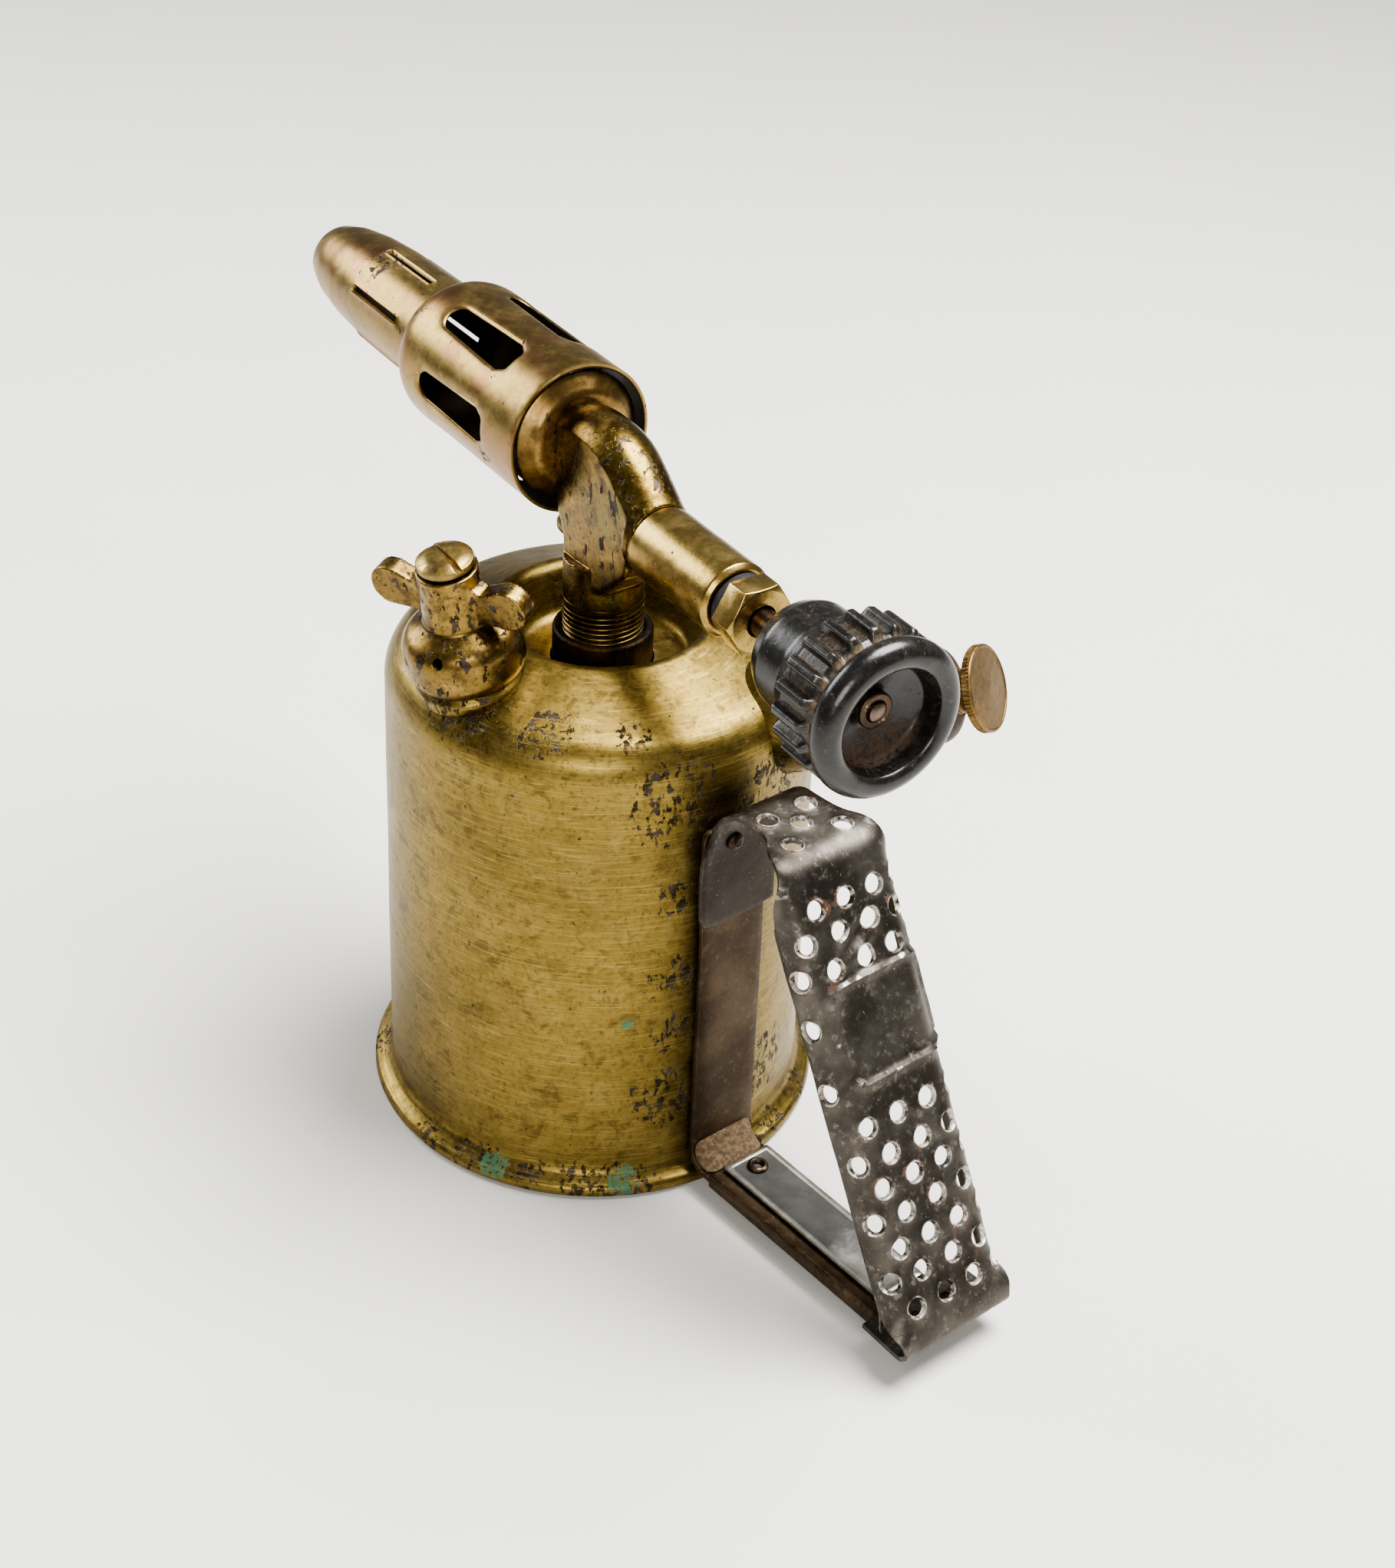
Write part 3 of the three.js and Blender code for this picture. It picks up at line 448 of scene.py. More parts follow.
class Look:
    """The nodes of one procedural material. Places and sizes are millimetres in the row frame."""

    def __init__(self, name, colour, metallic=0.0):
        self.material = bpy.data.materials.new(name)
        self.material.use_nodes = True
        self.tree = self.material.node_tree
        self.surface = self.tree.nodes["Principled BSDF"]
        self.surface.inputs["Metallic"].default_value = metallic
        metres = self.node("ShaderNodeTexCoord").outputs["Object"]
        self.place = self.vector("SCALE", metres, 1 / MM)[0]
        self.geometry = self.node("ShaderNodeNewGeometry")
        self.relief = None
        self.colour = colour

    def node(self, kind, **settings):
        made = self.tree.nodes.new(kind)
        for key, value in settings.items():
            setattr(made, key, value)
        return made

    def feed(self, socket, value):
        if isinstance(value, bpy.types.NodeSocket):
            self.tree.links.new(value, socket)
        else:
            socket.default_value = value

    def vector(self, operation, a, b):
        """The outputs of a vector operation: the vector first, or a number under "Value"."""
        made = self.node("ShaderNodeVectorMath", operation=operation)
        self.feed(made.inputs[0], a)
        self.feed(made.inputs["Scale" if operation == "SCALE" else 1], b)
        return made.outputs

    def math(self, operation, a, b=0.0):
        made = self.node("ShaderNodeMath", operation=operation)
        self.feed(made.inputs[0], a)
        self.feed(made.inputs[1], b)
        return made.outputs[0]

    def add(self, a, b):
        return self.math("ADD", a, b)

    def less(self, a, b):
        return self.math("SUBTRACT", a, b)

    def times(self, a, b):
        return self.math("MULTIPLY", a, b)

    def least(self, a, b):
        return self.math("MINIMUM", a, b)

    def most(self, *values):
        result = values[0]
        for value in values[1:]:
            result = self.math("MAXIMUM", result, value)
        return result

    def step(self, value, low, high):
        """0 below low, 1 above high, smooth between; low may be the larger."""
        made = self.node("ShaderNodeMapRange", interpolation_type="SMOOTHSTEP")
        self.feed(made.inputs["Value"], value)
        flip = low > high
        made.inputs["From Min"].default_value = min(low, high)
        made.inputs["From Max"].default_value = max(low, high)
        made.inputs["To Min"].default_value = 1.0 if flip else 0.0
        made.inputs["To Max"].default_value = 0.0 if flip else 1.0
        return made.outputs[0]

    def mix(self, share, a, b):
        made = self.node("ShaderNodeMix", data_type="RGBA")
        self.feed(made.inputs[0], share)
        self.feed(made.inputs[6], a)
        self.feed(made.inputs[7], b)
        return made.outputs[2]

    def paint(self, where, colour, share=1.0):
        """Lays a colour over the ones so far."""
        if share != 1.0:
            where = self.times(where, share)
        self.colour = self.mix(where, self.colour, colour)

    def spun(self, matrix, stretch):
        """Coordinates in another frame, stretched along its axes."""
        made = self.node("ShaderNodeMapping", vector_type="TEXTURE")
        self.feed(made.inputs["Vector"], self.place)
        made.inputs["Location"].default_value = matrix.to_translation()
        made.inputs["Rotation"].default_value = matrix.to_euler()
        made.inputs["Scale"].default_value = stretch
        return made.outputs[0]

    def noise(self, size, detail, rough, seed, where=None, distortion=0.0):
        made = self.node("ShaderNodeTexNoise", noise_dimensions="4D")
        self.feed(made.inputs["Vector"], where or self.place)
        made.inputs["W"].default_value = seed
        made.inputs["Scale"].default_value = 1 / size
        made.inputs["Detail"].default_value = detail
        made.inputs["Roughness"].default_value = rough
        made.inputs["Distortion"].default_value = distortion
        return made.outputs["Fac"]

    def patches(self, low, high, *noise, distortion=0.0):
        """The places where a noise is high: 0 below the low level, 1 above the high one."""
        return self.step(self.noise(*noise, distortion=distortion), low, high)

    def cells(self, size, seed):
        """Distance to the nearest of scattered points, and each cell's own random number."""
        made = self.node("ShaderNodeTexVoronoi", voronoi_dimensions="4D")
        self.feed(made.inputs["Vector"], self.place)
        made.inputs["W"].default_value = seed
        made.inputs["Scale"].default_value = 1 / size
        split = self.node("ShaderNodeSeparateColor")
        self.feed(split.inputs[0], made.outputs["Color"])
        return made.outputs["Distance"], split.outputs[0]

    def near(self, centre, radius, fade):
        """1 within the radius of a place, fading to 0."""
        return self.step(self.vector("DISTANCE", self.place, centre)["Value"], radius + fade, radius)

    def axis(self, letter, where=None):
        split = self.node("ShaderNodeSeparateXYZ")
        self.feed(split.inputs[0], where or self.place)
        return split.outputs["XYZ".index(letter)]

    def attribute(self, name):
        return self.node("ShaderNodeAttribute", attribute_name=name).outputs["Fac"]

    def edges(self, low=0.52, high=0.6):
        return self.step(self.geometry.outputs["Pointiness"], low, high)

    def shelter(self, distance):
        """1 deep in a corner, 0 in the open."""
        made = self.node("ShaderNodeAmbientOcclusion", samples=6, only_local=True)
        made.inputs["Distance"].default_value = distance * MM
        return self.less(1.0, made.outputs["AO"])

    def wrapped(self, length):
        """Coordinates that run round the tank's axis, stretched along the way round."""
        x, y, z = (self.axis(letter) for letter in "XYZ")
        made = self.node("ShaderNodeCombineXYZ")
        self.feed(made.inputs[0], self.times(self.math("ARCTAN2", y, x), TANK_RADIUS / length))
        self.feed(made.inputs[2], z)
        return made.outputs[0]

    def scratches(self, size, count, seed, matrix):
        """Thin dashes along the X axis of a frame, or round the tank if there is none."""
        where = self.spun(matrix, (DASH, 1.0, 1.0)) if matrix else self.wrapped(DASH)
        return self.step(self.noise(size, 1.0, 0.4, seed, where), 1 - count, 1 - count + 0.05)

    def faces_inwards(self, height):
        """1 on surfaces that face the burner's axis."""
        spoke = self.vector("SUBTRACT", self.place, (0, 0, height))[0]
        across = self.vector("MULTIPLY", spoke, (0, 1, 1))[0]
        facing = self.vector("DOT_PRODUCT", across, self.geometry.outputs["Normal"])["Value"]
        return self.step(facing, 0.5, -1.5)

    def lift(self, height, depth):
        """Adds a bump of about depth millimetres where height runs from 0 to 1."""
        made = self.node("ShaderNodeBump")
        made.inputs["Strength"].default_value = 1.0
        made.inputs["Distance"].default_value = depth * MM
        self.feed(made.inputs["Height"], height)
        if self.relief:
            self.feed(made.inputs["Normal"], self.relief)
        self.relief = made.outputs[0]

    def done(self, roughness):
        self.feed(self.surface.inputs["Base Color"], self.colour)
        self.feed(self.surface.inputs["Roughness"], roughness)
        if self.relief:
            self.feed(self.surface.inputs["Normal"], self.relief)
        return self.material


SOOT = tone(36, 31, 29)
PURPLE = tone(74, 65, 66)
VERDIGRIS = tone(96, 138, 110)


def brass(name, body, bright, dull, rough=0.34, patina=0.0, pits=0.3, tint=None, lines=None,
          stains=(), crust=(), shelter=0.0, grain=0.02, cloudy=0.45, fleck=3.0, brushed=0.0,
          dark_inside=False, mottled=0.45, worn=0.75):
    """Aged brass. lines is the frame whose X axis the fine scratches follow, or "round" for the
    tank. stains and crust are (centre, radius, fade) places with dark patina or green crust."""
    look = Look(name, body, metallic=1.0)
    cloud = look.noise(6, 6, 0.65, 2.0, distortion=0.4)
    look.paint(0.5, dull)
    look.paint(look.patches(0.3, 0.62, 30, 3, 0.5, 1.0), body)
    look.paint(look.step(cloud, 0.42, 0.74), bright, cloudy)
    if tint:
        look.paint(look.patches(0.46, 0.64, 9, 3, 0.5, 9.0), tint, 0.8)
    look.paint(look.patches(0.48, 0.68, 0.9, 5, 0.7, 3.0), dull, mottled)
    look.paint(look.patches(0.5, 0.64, 4.5, 6, 0.7, 15.0, distortion=0.8), dull, mottled)
    edge = look.times(look.edges(), worn)
    look.paint(edge, bright)

    reach = patina
    for place in stains:
        reach = look.most(reach, look.near(*place))
    blotches = look.noise(fleck, 5, 0.6, 4.0, look.spun(Matrix.Identity(4), (1, 1, 1.9)), 0.5)
    if stains:
        dark = look.step(look.add(blotches, look.times(reach, 0.15)), 0.655, 0.69)
    else:
        dark = look.step(look.add(blotches, 0.2 * patina), 0.67, 0.72)
    if shelter:
        corner = look.add(look.shelter(shelter), look.times(look.noise(1.6, 4, 0.6, 8.0), 0.5))
        dark = look.most(dark, look.times(look.step(corner, 0.55, 0.85), 0.9))
    look.paint(dark, look.mix(look.patches(0.45, 0.6, 2.5, 3, 0.5, 5.0), SOOT, PURPLE), 0.88)

    spread, chosen = look.cells(2.6, 1.0)
    rare = 1 - pits * 0.6
    pit = look.times(look.step(spread, 0.13, 0.07), look.step(chosen, rare, rare + 0.02))
    look.paint(pit, SOOT, 0.85)

    rub = None
    if lines is not None:
        straight = None if lines == "round" else lines
        tilt = Matrix.Rotation(0.5, 4, "X") @ Matrix.Rotation(0.35, 4, "Z")
        askew = (straight or Matrix.Rotation(0.8, 4, "Z")) @ tilt
        rub = look.most(look.scratches(0.32, 0.27, 11.0, straight),
                        look.scratches(0.4, 0.24, 12.0, askew))
        rub = look.times(rub, look.patches(0.45, 0.6, 12, 2, 0.5, 13.0))
        look.paint(rub, bright, 0.5)
    for place in crust:
        grown = look.add(look.times(look.near(*place), 0.3), look.noise(1.3, 5, 0.7, 6.0))
        grown = look.step(grown, 0.72, 0.8)
        look.paint(grown, VERDIGRIS, 0.8)
        dark = look.most(dark, grown)
    if dark_inside:
        # Surfaces that face the burner's axis are painted near black.
        inward_dark = look.faces_inwards(BURNER_HEIGHT)
        look.paint(inward_dark, SOOT, 0.93)
        dark = look.most(dark, inward_dark)
    if brushed:
        hair = look.noise(0.22, 2, 0.5, 21.0, look.wrapped(30.0))
        look.paint(look.step(hair, 0.5, 0.72), bright, brushed)
        look.lift(hair, 0.012)
    roughness = look.add(rough, look.times(look.less(cloud, 0.5), 0.35))
    roughness = look.add(roughness, look.times(dark, 0.22))
    roughness = look.less(roughness, look.times(edge, 0.08))
    look.lift(look.noise(grain * 18, 4, 0.6, 7.0), grain)
    look.lift(look.noise(3.0, 3, 0.5, 14.0), grain * 2)
    look.lift(look.less(1.0, pit), 0.12)
    look.lift(look.less(1.0, dark), 0.03)
    if rub is not None:
        look.lift(look.less(1.0, rub), 0.012)
    return look.done(roughness)


def steel(name, body, bright, dull, rust, amount, rough=0.45, lines=None, painted_shade=()):
    """Bare steel that has gone brown, with rust and, at punched holes, bright burrs.
    The last argument lists (centre, radius, fade) places of painted shade: a darker colour put where shadow
    falls."""
    look = Look(name, dull, metallic=1.0)
    cloud = look.noise(1.6, 6, 0.7, 2.0)
    look.paint(look.patches(0.38, 0.64, 14, 4, 0.6, 1.0), body)
    look.paint(look.step(cloud, 0.52, 0.74), bright, 0.3)
    for place in painted_shade:
        # Painted shade: these places are darkened to stand in for shadow.
        look.paint(look.near(*place), tone(48, 41, 36), 0.8)
    rim = look.attribute("rim")
    edge = look.most(look.edges(0.53, 0.62), look.step(rim, 0.72, 0.95))
    near_rim = look.times(look.step(rim, 0.1, 0.75), 0.09)
    rusty = look.add(look.add(look.noise(5.5, 7, 0.7, 3.0, distortion=0.5), near_rim), amount)
    fleck = look.times(look.patches(0.66, 0.74, 0.7, 4, 0.7, 5.0), 0.6)
    rusty = look.most(look.step(rusty, 0.62, 0.72), fleck)
    look.paint(rusty, look.mix(look.noise(1.1, 4, 0.6, 6.0), rust, tone(84, 50, 32)), 0.85)
    look.paint(look.times(edge, look.patches(0.4, 0.56, 1.6, 4, 0.6, 4.0)), bright, 0.9)
    look.paint(look.scratches(0.35, 0.27, 15.0, lines or Matrix.Rotation(0.6, 4, "Y")), bright, 0.5)
    roughness = look.add(look.add(rough, look.times(rusty, 0.3)), look.times(look.less(cloud, 0.5), 0.3))
    look.lift(look.noise(0.5, 5, 0.65, 7.0), 0.03)
    look.lift(look.times(rusty, look.noise(0.35, 4, 0.7, 8.0)), 0.1)
    look.feed(look.surface.inputs["Metallic"], look.less(1.0, look.times(rusty, 0.75)))
    return look.done(roughness)


def moulded_black():
    """Glossy black moulding with grey scuffs, tan dirt between its ribs and rust in its dish."""
    look = Look("moulded_black", tone(18, 17, 15))
    look.paint(look.patches(0.4, 0.7, 2.2, 6, 0.7, 1.0), tone(42, 38, 34))
    scuff = look.patches(0.55, 0.72, 0.8, 6, 0.72, 2.0)
    look.paint(look.times(scuff, look.patches(0.42, 0.6, 7, 2, 0.5, 3.0)), tone(112, 103, 92), 0.5)
    along = look.axis("X")
    ribs = look.times(look.step(along, 73.5, 75.5), look.step(along, 85.6, 84.4))
    dirt = look.add(look.shelter(2.2), look.times(look.noise(0.9, 5, 0.7, 4.0), 0.9))
    dirt = look.times(look.step(dirt, 0.72, 0.98), ribs)
    look.paint(dirt, tone(128, 108, 80), 0.8)
    rust = look.times(look.step(along, 87.2, 86.2), look.step(along, 83.0, 83.3))
    rust = look.times(rust, look.near((88.0, 0, VALVE_HEIGHT), 9.6, 0.6))
    height = look.add(look.axis("Z"), look.times(look.noise(2, 3, 0.5, 6.0), 4.0))
    rust = look.times(rust, look.step(height, VALVE_HEIGHT, VALVE_HEIGHT - 5.0))
    rust = look.times(rust, look.patches(0.34, 0.6, 0.9, 5, 0.7, 7.0))
    look.paint(rust, tone(88, 62, 40), 0.7)
    look.paint(look.edges(0.51, 0.58), tone(98, 92, 84), 0.25)
    look.lift(look.noise(0.35, 4, 0.6, 8.0), 0.012)
    look.lift(look.noise(2.5, 4, 0.6, 9.0), 0.07)
    look.lift(look.most(dirt, rust), 0.05)
    return look.done(look.add(0.24, look.times(look.most(dirt, rust, scuff), 0.4)))


def plain(name, body, dark, rough, size=1.2, depth=0.05):
    """A dull material with mottled colour and a fine rough surface."""
    look = Look(name, dark)
    cloud = look.noise(size, 5, 0.65, 1.0)
    look.paint(look.step(cloud, 0.38, 0.64), body)
    look.lift(look.noise(size / 3, 5, 0.7, 2.0), depth)
    return look.done(look.add(rough, look.times(look.less(cloud, 0.5), 0.3)))


def plate_metal():
    """Silver plate whose field inside a bright border keeps its dark filling near the tank."""
    look = Look("plate_metal", tone(176, 174, 166), metallic=1.0)
    look.paint(look.patches(0.36, 0.66, 3.5, 5, 0.65, 1.0), tone(214, 212, 204))
    on_plate = look.spun(HANDLE, (1, 1, 1))
    along = look.axis("X", on_plate)
    to_side = look.less(PLATE_HALF, look.math("ABSOLUTE", look.axis("Y", on_plate)))
    to_end = look.least(look.less(along, PLATE_START), look.less(PLATE_END, along))
    filled = look.step(look.add(along, look.times(look.noise(5, 4, 0.6, 2.0), 16)), 97.0, 86.0)
    filled = look.times(filled, look.step(look.least(to_end, to_side), 1.2, 1.4))
    grime = look.patches(0.58, 0.72, 0.8, 5, 0.7, 3.0)
    look.paint(filled, tone(62, 60, 60), 0.88)
    look.paint(grime, tone(104, 88, 66), 0.5)
    look.lift(look.noise(0.5, 4, 0.6, 4.0), 0.02)
    return look.done(look.add(0.32, look.times(look.most(filled, grime), 0.3)))


# The label plate, along and across the handle's foot.
PLATE_START, PLATE_END, PLATE_HALF = 50.0, 96.0, 5.8
GOLD = tone(130, 110, 56)
GOLD_BRIGHT = tone(188, 166, 104)
GOLD_DULL = tone(84, 70, 36)
WARM = tone(118, 97, 52)
WARM_BRIGHT = tone(206, 170, 100)
WARM_DULL = tone(72, 56, 34)


def rim_point(degrees):
    """A place on the bead round the tank's foot."""
    angle = math.radians(degrees)
    return (44.5 * math.cos(angle), 44.5 * math.sin(angle), 3.0)


TANK_STAINS = [
    ((9, -36, 104), 5, 6), ((24, -27, 103), 3.5, 4), ((34, -14, 104), 2, 3), ((42, -9, 92), 5, 9),
    ((41, -8.5, 70), 2, 5), ((41, -8.5, 52), 3, 5), ((41.5, -8, 38), 3, 5), ((43, -9.5, 22), 4, 7),
    ((40, 12, 88), 5, 6), ((40, 14, 20), 5, 8)]
RIM_STAINS = (-78, -66, -60, -48, -36, -28, -20, 14, 24, 40, 95, 150, 200, 240)
CASTING_STAINS = [
    ((11, -3, 128), 3.6, 4), ((3, -8, 115), 2.6, 3), ((13, -5, 141), 2.2, 2.5), ((-8, 0, 145), 3, 4),
    ((0, -7.6, 121), 1.4, 1.6)]

looks = {
    "tank": brass(
        "tank_brass", GOLD, GOLD_BRIGHT, GOLD_DULL, rough=0.4, pits=0.34, lines="round", cloudy=0.25,
        fleck=1.3, brushed=0.35, mottled=0.75, shelter=1.8,
        stains=TANK_STAINS + [(rim_point(angle), 2.4, 3.0) for angle in RIM_STAINS],
        crust=[(rim_point(-58), 2.0, 3.0), (rim_point(-24), 2.0, 3.0), ((39, -17, 42), 1.0, 1.6)]),
    "base": brass("base_brass", WARM_DULL, WARM, tone(70, 54, 34), rough=0.5, patina=0.6),
    "boss": brass("boss_black", tone(30, 26, 24), tone(128, 92, 60), tone(20, 18, 17), rough=0.55,
                  patina=0.6, pits=0.4, grain=0.03),
    "casting": brass(
        "cast_brass", tone(116, 92, 44), tone(208, 176, 104), tone(64, 48, 26), rough=0.29,
        patina=0.5, pits=0.42, tint=tone(112, 100, 52), grain=0.024, shelter=2.6, fleck=2.2,
        mottled=0.8, stains=CASTING_STAINS),
    "burner": brass(
        "burner_brass", tone(144, 122, 70), tone(200, 176, 116), tone(108, 86, 50),
        tint=tone(146, 108, 74), fleck=1.8, lines=spin(90, "Z"), grain=0.016, dark_inside=True,
        stains=[((-53, -8, 150), 2, 4), ((-80, -4, 150), 2, 6), ((-20, -13, 136), 1.5, 3)]),
    "dish_plate": brass("plate_brass", tone(140, 112, 64), tone(224, 190, 122), tone(84, 64, 40),
                        rough=0.32, shelter=3.0, stains=[((-12, 0, BURNER_HEIGHT), 6.5, 3)]),
    "turned": brass("turned_brass", tone(168, 142, 82), tone(224, 200, 136), tone(116, 92, 48),
                    rough=0.28, pits=0.24, lines=spin(90, "Y")),
    "cap": brass(
        "cap_brass", WARM, WARM_BRIGHT, WARM_DULL, rough=0.33, patina=0.6, fleck=1.6, pits=0.55,
        shelter=3.2, grain=0.03, mottled=0.8, stains=[((8, -27, 116), 3, 3), ((2, -38, 114), 2.5, 3)]),
    "screw": brass("screw_brass", tone(134, 114, 70), tone(222, 188, 104), tone(96, 84, 66),
                   rough=0.36, pits=0.4, shelter=1.6, grain=0.03),
    "pump": brass("pump_brass", tone(132, 106, 66), tone(190, 158, 104), tone(92, 72, 46),
                  rough=0.46, pits=0.5, grain=0.05, worn=0.0),
    "pump_dark": brass("pump_dark", tone(66, 56, 44), tone(120, 96, 60), tone(40, 34, 30),
                       rough=0.5, patina=0.5),
    "inner": brass("inner_brass", tone(150, 118, 66), tone(190, 160, 96), tone(112, 86, 48),
                   rough=0.45),
    "spindle": steel("spindle_steel", tone(116, 96, 86), tone(190, 182, 172), tone(78, 62, 56),
                     tone(108, 70, 46), -0.02, rough=0.3, lines=spin(90, "Z")),
    # The handle's tab gets painted shade, standing in for the shadow it lies in.
    "handle": steel("handle_steel", tone(98, 93, 86), tone(206, 200, 190), tone(66, 61, 55),
                    tone(104, 68, 42), 0.01, rough=0.46, painted_shade=[((45.0, 4.5, 72), 9, 7)]),
    "foot": steel("foot_steel", tone(84, 70, 54), tone(150, 134, 112), tone(60, 48, 36),
                  tone(104, 66, 36), 0.05, rough=0.5),
    "rivet": steel("rivet_steel", tone(88, 74, 60), tone(150, 132, 110), tone(56, 44, 35),
                   tone(104, 66, 38), 0.03),
    "knob": moulded_black(),
    "plate": plate_metal(),
    "packing": plain("packing", tone(34, 32, 31), tone(16, 15, 15), 0.7),
    "leather": plain("oiled_leather", tone(92, 62, 40), tone(56, 36, 24), 0.6, size=0.9, depth=0.08),
    "rubber": plain("soft_rubber", tone(44, 44, 44), tone(26, 26, 27), 0.75, size=0.8),
    "grime": plain("tan_grime", tone(134, 112, 82), tone(86, 68, 48), 0.85, size=0.9, depth=0.3),
}


def show(shape, name, look, body, slot, *nodes, sharp=35):
    """Makes a finished millimetre shape one of the model's pieces."""
    shape.name = shape.data.name = name
    shape.data.transform(Matrix.Scale(MM, 4))
    shape.data.materials.clear()
    shape.data.materials.append(looks[look])
    shape.data.shade_smooth()
    shape.data.set_sharp_from_angle(angle=math.radians(sharp))
    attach(shape, body)
    if nodes:
        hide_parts(*nodes)


# ---- Tank and priming dish -------------------------------------------------------------------


def uneven(size, seed):
    """A change for turned() that leaves the surface hand-worked instead of perfect."""
    def change(angle, radius, height):
        point = (radius * math.cos(angle), radius * math.sin(angle), height)
        return radius + size * ripple(point, 9, seed) + size * 0.4 * ripple(point, 2.5, seed), height
    return change


def worked(outline, spacing, segments, size, seed):
    """A turned shape with points close enough for its hand-worked surface to show."""
    return turned(resampled(outline, spacing, closed=True), segments, uneven(size, seed))


KNOCKS = [((41.5, -8.5, 78), 6, 0.3), ((34, -25, 60), 5, 0.2), ((39, -16, 92), 5, 0.25),
          ((22, -36, 40), 7, 0.2)]


def dented(angle, radius, height):
    """The tank's drawn shell: long waves, fine unevenness and a few shallow knocks."""
    point = Vector((radius * math.cos(angle), radius * math.sin(angle), height))
    wave = 0.14 * ripple(point, 26, 3.0) + 0.05 * ripple(point, 7, 4.0)
    for knock, width, depth in KNOCKS:
        wave -= depth * math.exp(-((point - Vector(knock)).length / width) ** 2)
    settled = smooth(2, 9, height) if radius > 30 else 0.4
    return radius + wave * settled, height


bead = arc(44.8, 1.6, 1.6, -175, 82, 18)
foot_line = [*arc(45.8, 6.4, 3, 240, 180, 8), *arc(33.3, 96, 8.7, 0, 70, 14)]
shoulder_line = [*arc(21.5, 106.8, 2.5, 70, 160, 9), *arc(14.5, 102.5, 3, -20, -90, 8), (10.1, 99.5)]
tank_line = resampled(foot_line + shoulder_line, 1.6)
tank_outline = bead + tank_line + offset(tank_line, -1)[::-1]
tank = turned(tank_outline, 224, dented)
carved(tank, moved(bar(7.6, -14, 12), FILLER), moved(bar(8.6, -16, 14), PUMP))
show(tank, "tank_skin", "tank", "tank", "tank_brass", "tank_shell", sharp=50)

boss_outline = rounded([(8.15, 96.5), (9.8, 96.5), (9.8, 106.5, 1.1), (8.15, 106.5, 0.5)], 5)
show(worked(boss_outline, 1.2, 112, 0.12, 5), "collar", "boss", "tank", "blackened_brass",
     "burner_boss")

# ---- Burner casting --------------------------------------------------------------------------


def bar_along_x(start, end, height, radius):
    return moved(bar(radius, start, end, 56), shift(0, 0, height) @ spin(90, "Y"))


column = bar(7.85, 108, 133.2, 96)
elbow_path = curve_through(
    [(-9, 142.2), (-2, 143.2), (5, 142.4), (11, 138.2), (16, 134.2), (19.2, 133.2)], 8)
elbow = swept(elbow_path, 7.2, 56)
web_line = [(-2, 119), (7.5, 118), (17, 126.2, 4), (17, 133.2), (10, 141.6), (-8.4, 144.6, 3),
            (-9, 134.6, 3), (-8.4, 130, 2)]
web = upright_slab(rounded(web_line, 4), 12)
neck = bar_along_x(-19, 0, BURNER_HEIGHT, 5.2)
eye = bar_along_x(-13.2, 0, 123, 3.0)
casting = fused(joined(column, elbow, web, neck, eye), 0.4, 6)
flat_line = rounded([(-16, 122.2), (-1, 121.6, 2), (8, 122.4, 3), (16.8, 129, 3), (16.8, 138, 3),
                     (12, 160), (-16, 160)], 5)
flats = [moved(upright_slab(flat_line, 8), shift(0, y, 0)) for y in (-10, 10)]
carved(casting, *flats, box(25.2, 0, 133, 12, 30, 30), bar_along_x(-15, -9.4, 123, 2.0))
fused(casting, 0.27, 2)
show(casting, "cast_elbow", "casting", "tank", "cast_brass", "burner_casting", sharp=48)

PITCH = 1.1


def threaded(angle, radius, height):
    if radius < 6:
        return radius, height
    phase = (height / PITCH - angle / (2 * math.pi)) % 1
    ridge = 1 - abs(2 * phase - 1)
    run_out = smooth(113.2, 111.2, height)
    return radius - 0.62 * (1 - min(1, ridge * 1.5)) * run_out, height


thread_heights = [95.8 + k * PITCH / 10 for k in range(160)]
thread_line = [(0, 95.8)] + [(7.95, h) for h in thread_heights] + [(0, thread_heights[-1])]
show(turned(thread_line, 120, threaded), "column_thread", "casting", "tank", "cast_brass", sharp=60)

# ---- Burner ----------------------------------------------------------------------------------

dish_line = [(5.3, 8.4), *arc(8.6, 11.4, 3.0, -90, -48, 8), (13.2, 11.0)]
dish_outline = resampled(dish_line + offset(dish_line, -1.3)[::-1], 1.0, closed=True)
dish = bevelled(turned(dish_outline, 96), 0.4, 4)
show(moved(dish, BURNER), "rear_dish", "dish_plate", "tank", "cast_brass", "burner_back_plate")

BURNER_WALL = 0.9
BURNER_BACK = 9.5
FLAT_RADIUS = 15.0
SEAM = math.radians(8)
burner_line = resampled([(15, BURNER_BACK), (15, 51), *arc(6, 51, 9, 0, 58, 14)[1:], (10.6, 62),
                         (10.4, 84), (9.7, 94), (8.5, 102), (7, 107)], 1.0)
burner_place, burner_length = track(burner_line)


def length_at(place, length, index, value):
    """How far along a track its x (index 0) or y (index 1) first passes a value."""
    steps = 4000
    previous = place(0)[0][index] - value
    for k in range(1, steps + 1):
        here = place(length * k / steps)[0][index] - value
        if previous == 0 or previous * here <= 0:
            return length * k / steps
        previous = here
    return length


def on_burner(u, v):
    (radius, height), way = burner_place(v)
    angle = SEAM + u / FLAT_RADIUS
    spoke = Vector((math.cos(angle), math.sin(angle), 0))
    squash = 0.12 * ripple((radius * spoke.x, radius * spoke.y, height), 16, 2.0)
    normal = spoke * way.y - Vector((0, 0, way.x))
    return spoke * (radius + squash) + Vector((0, 0, height)), normal


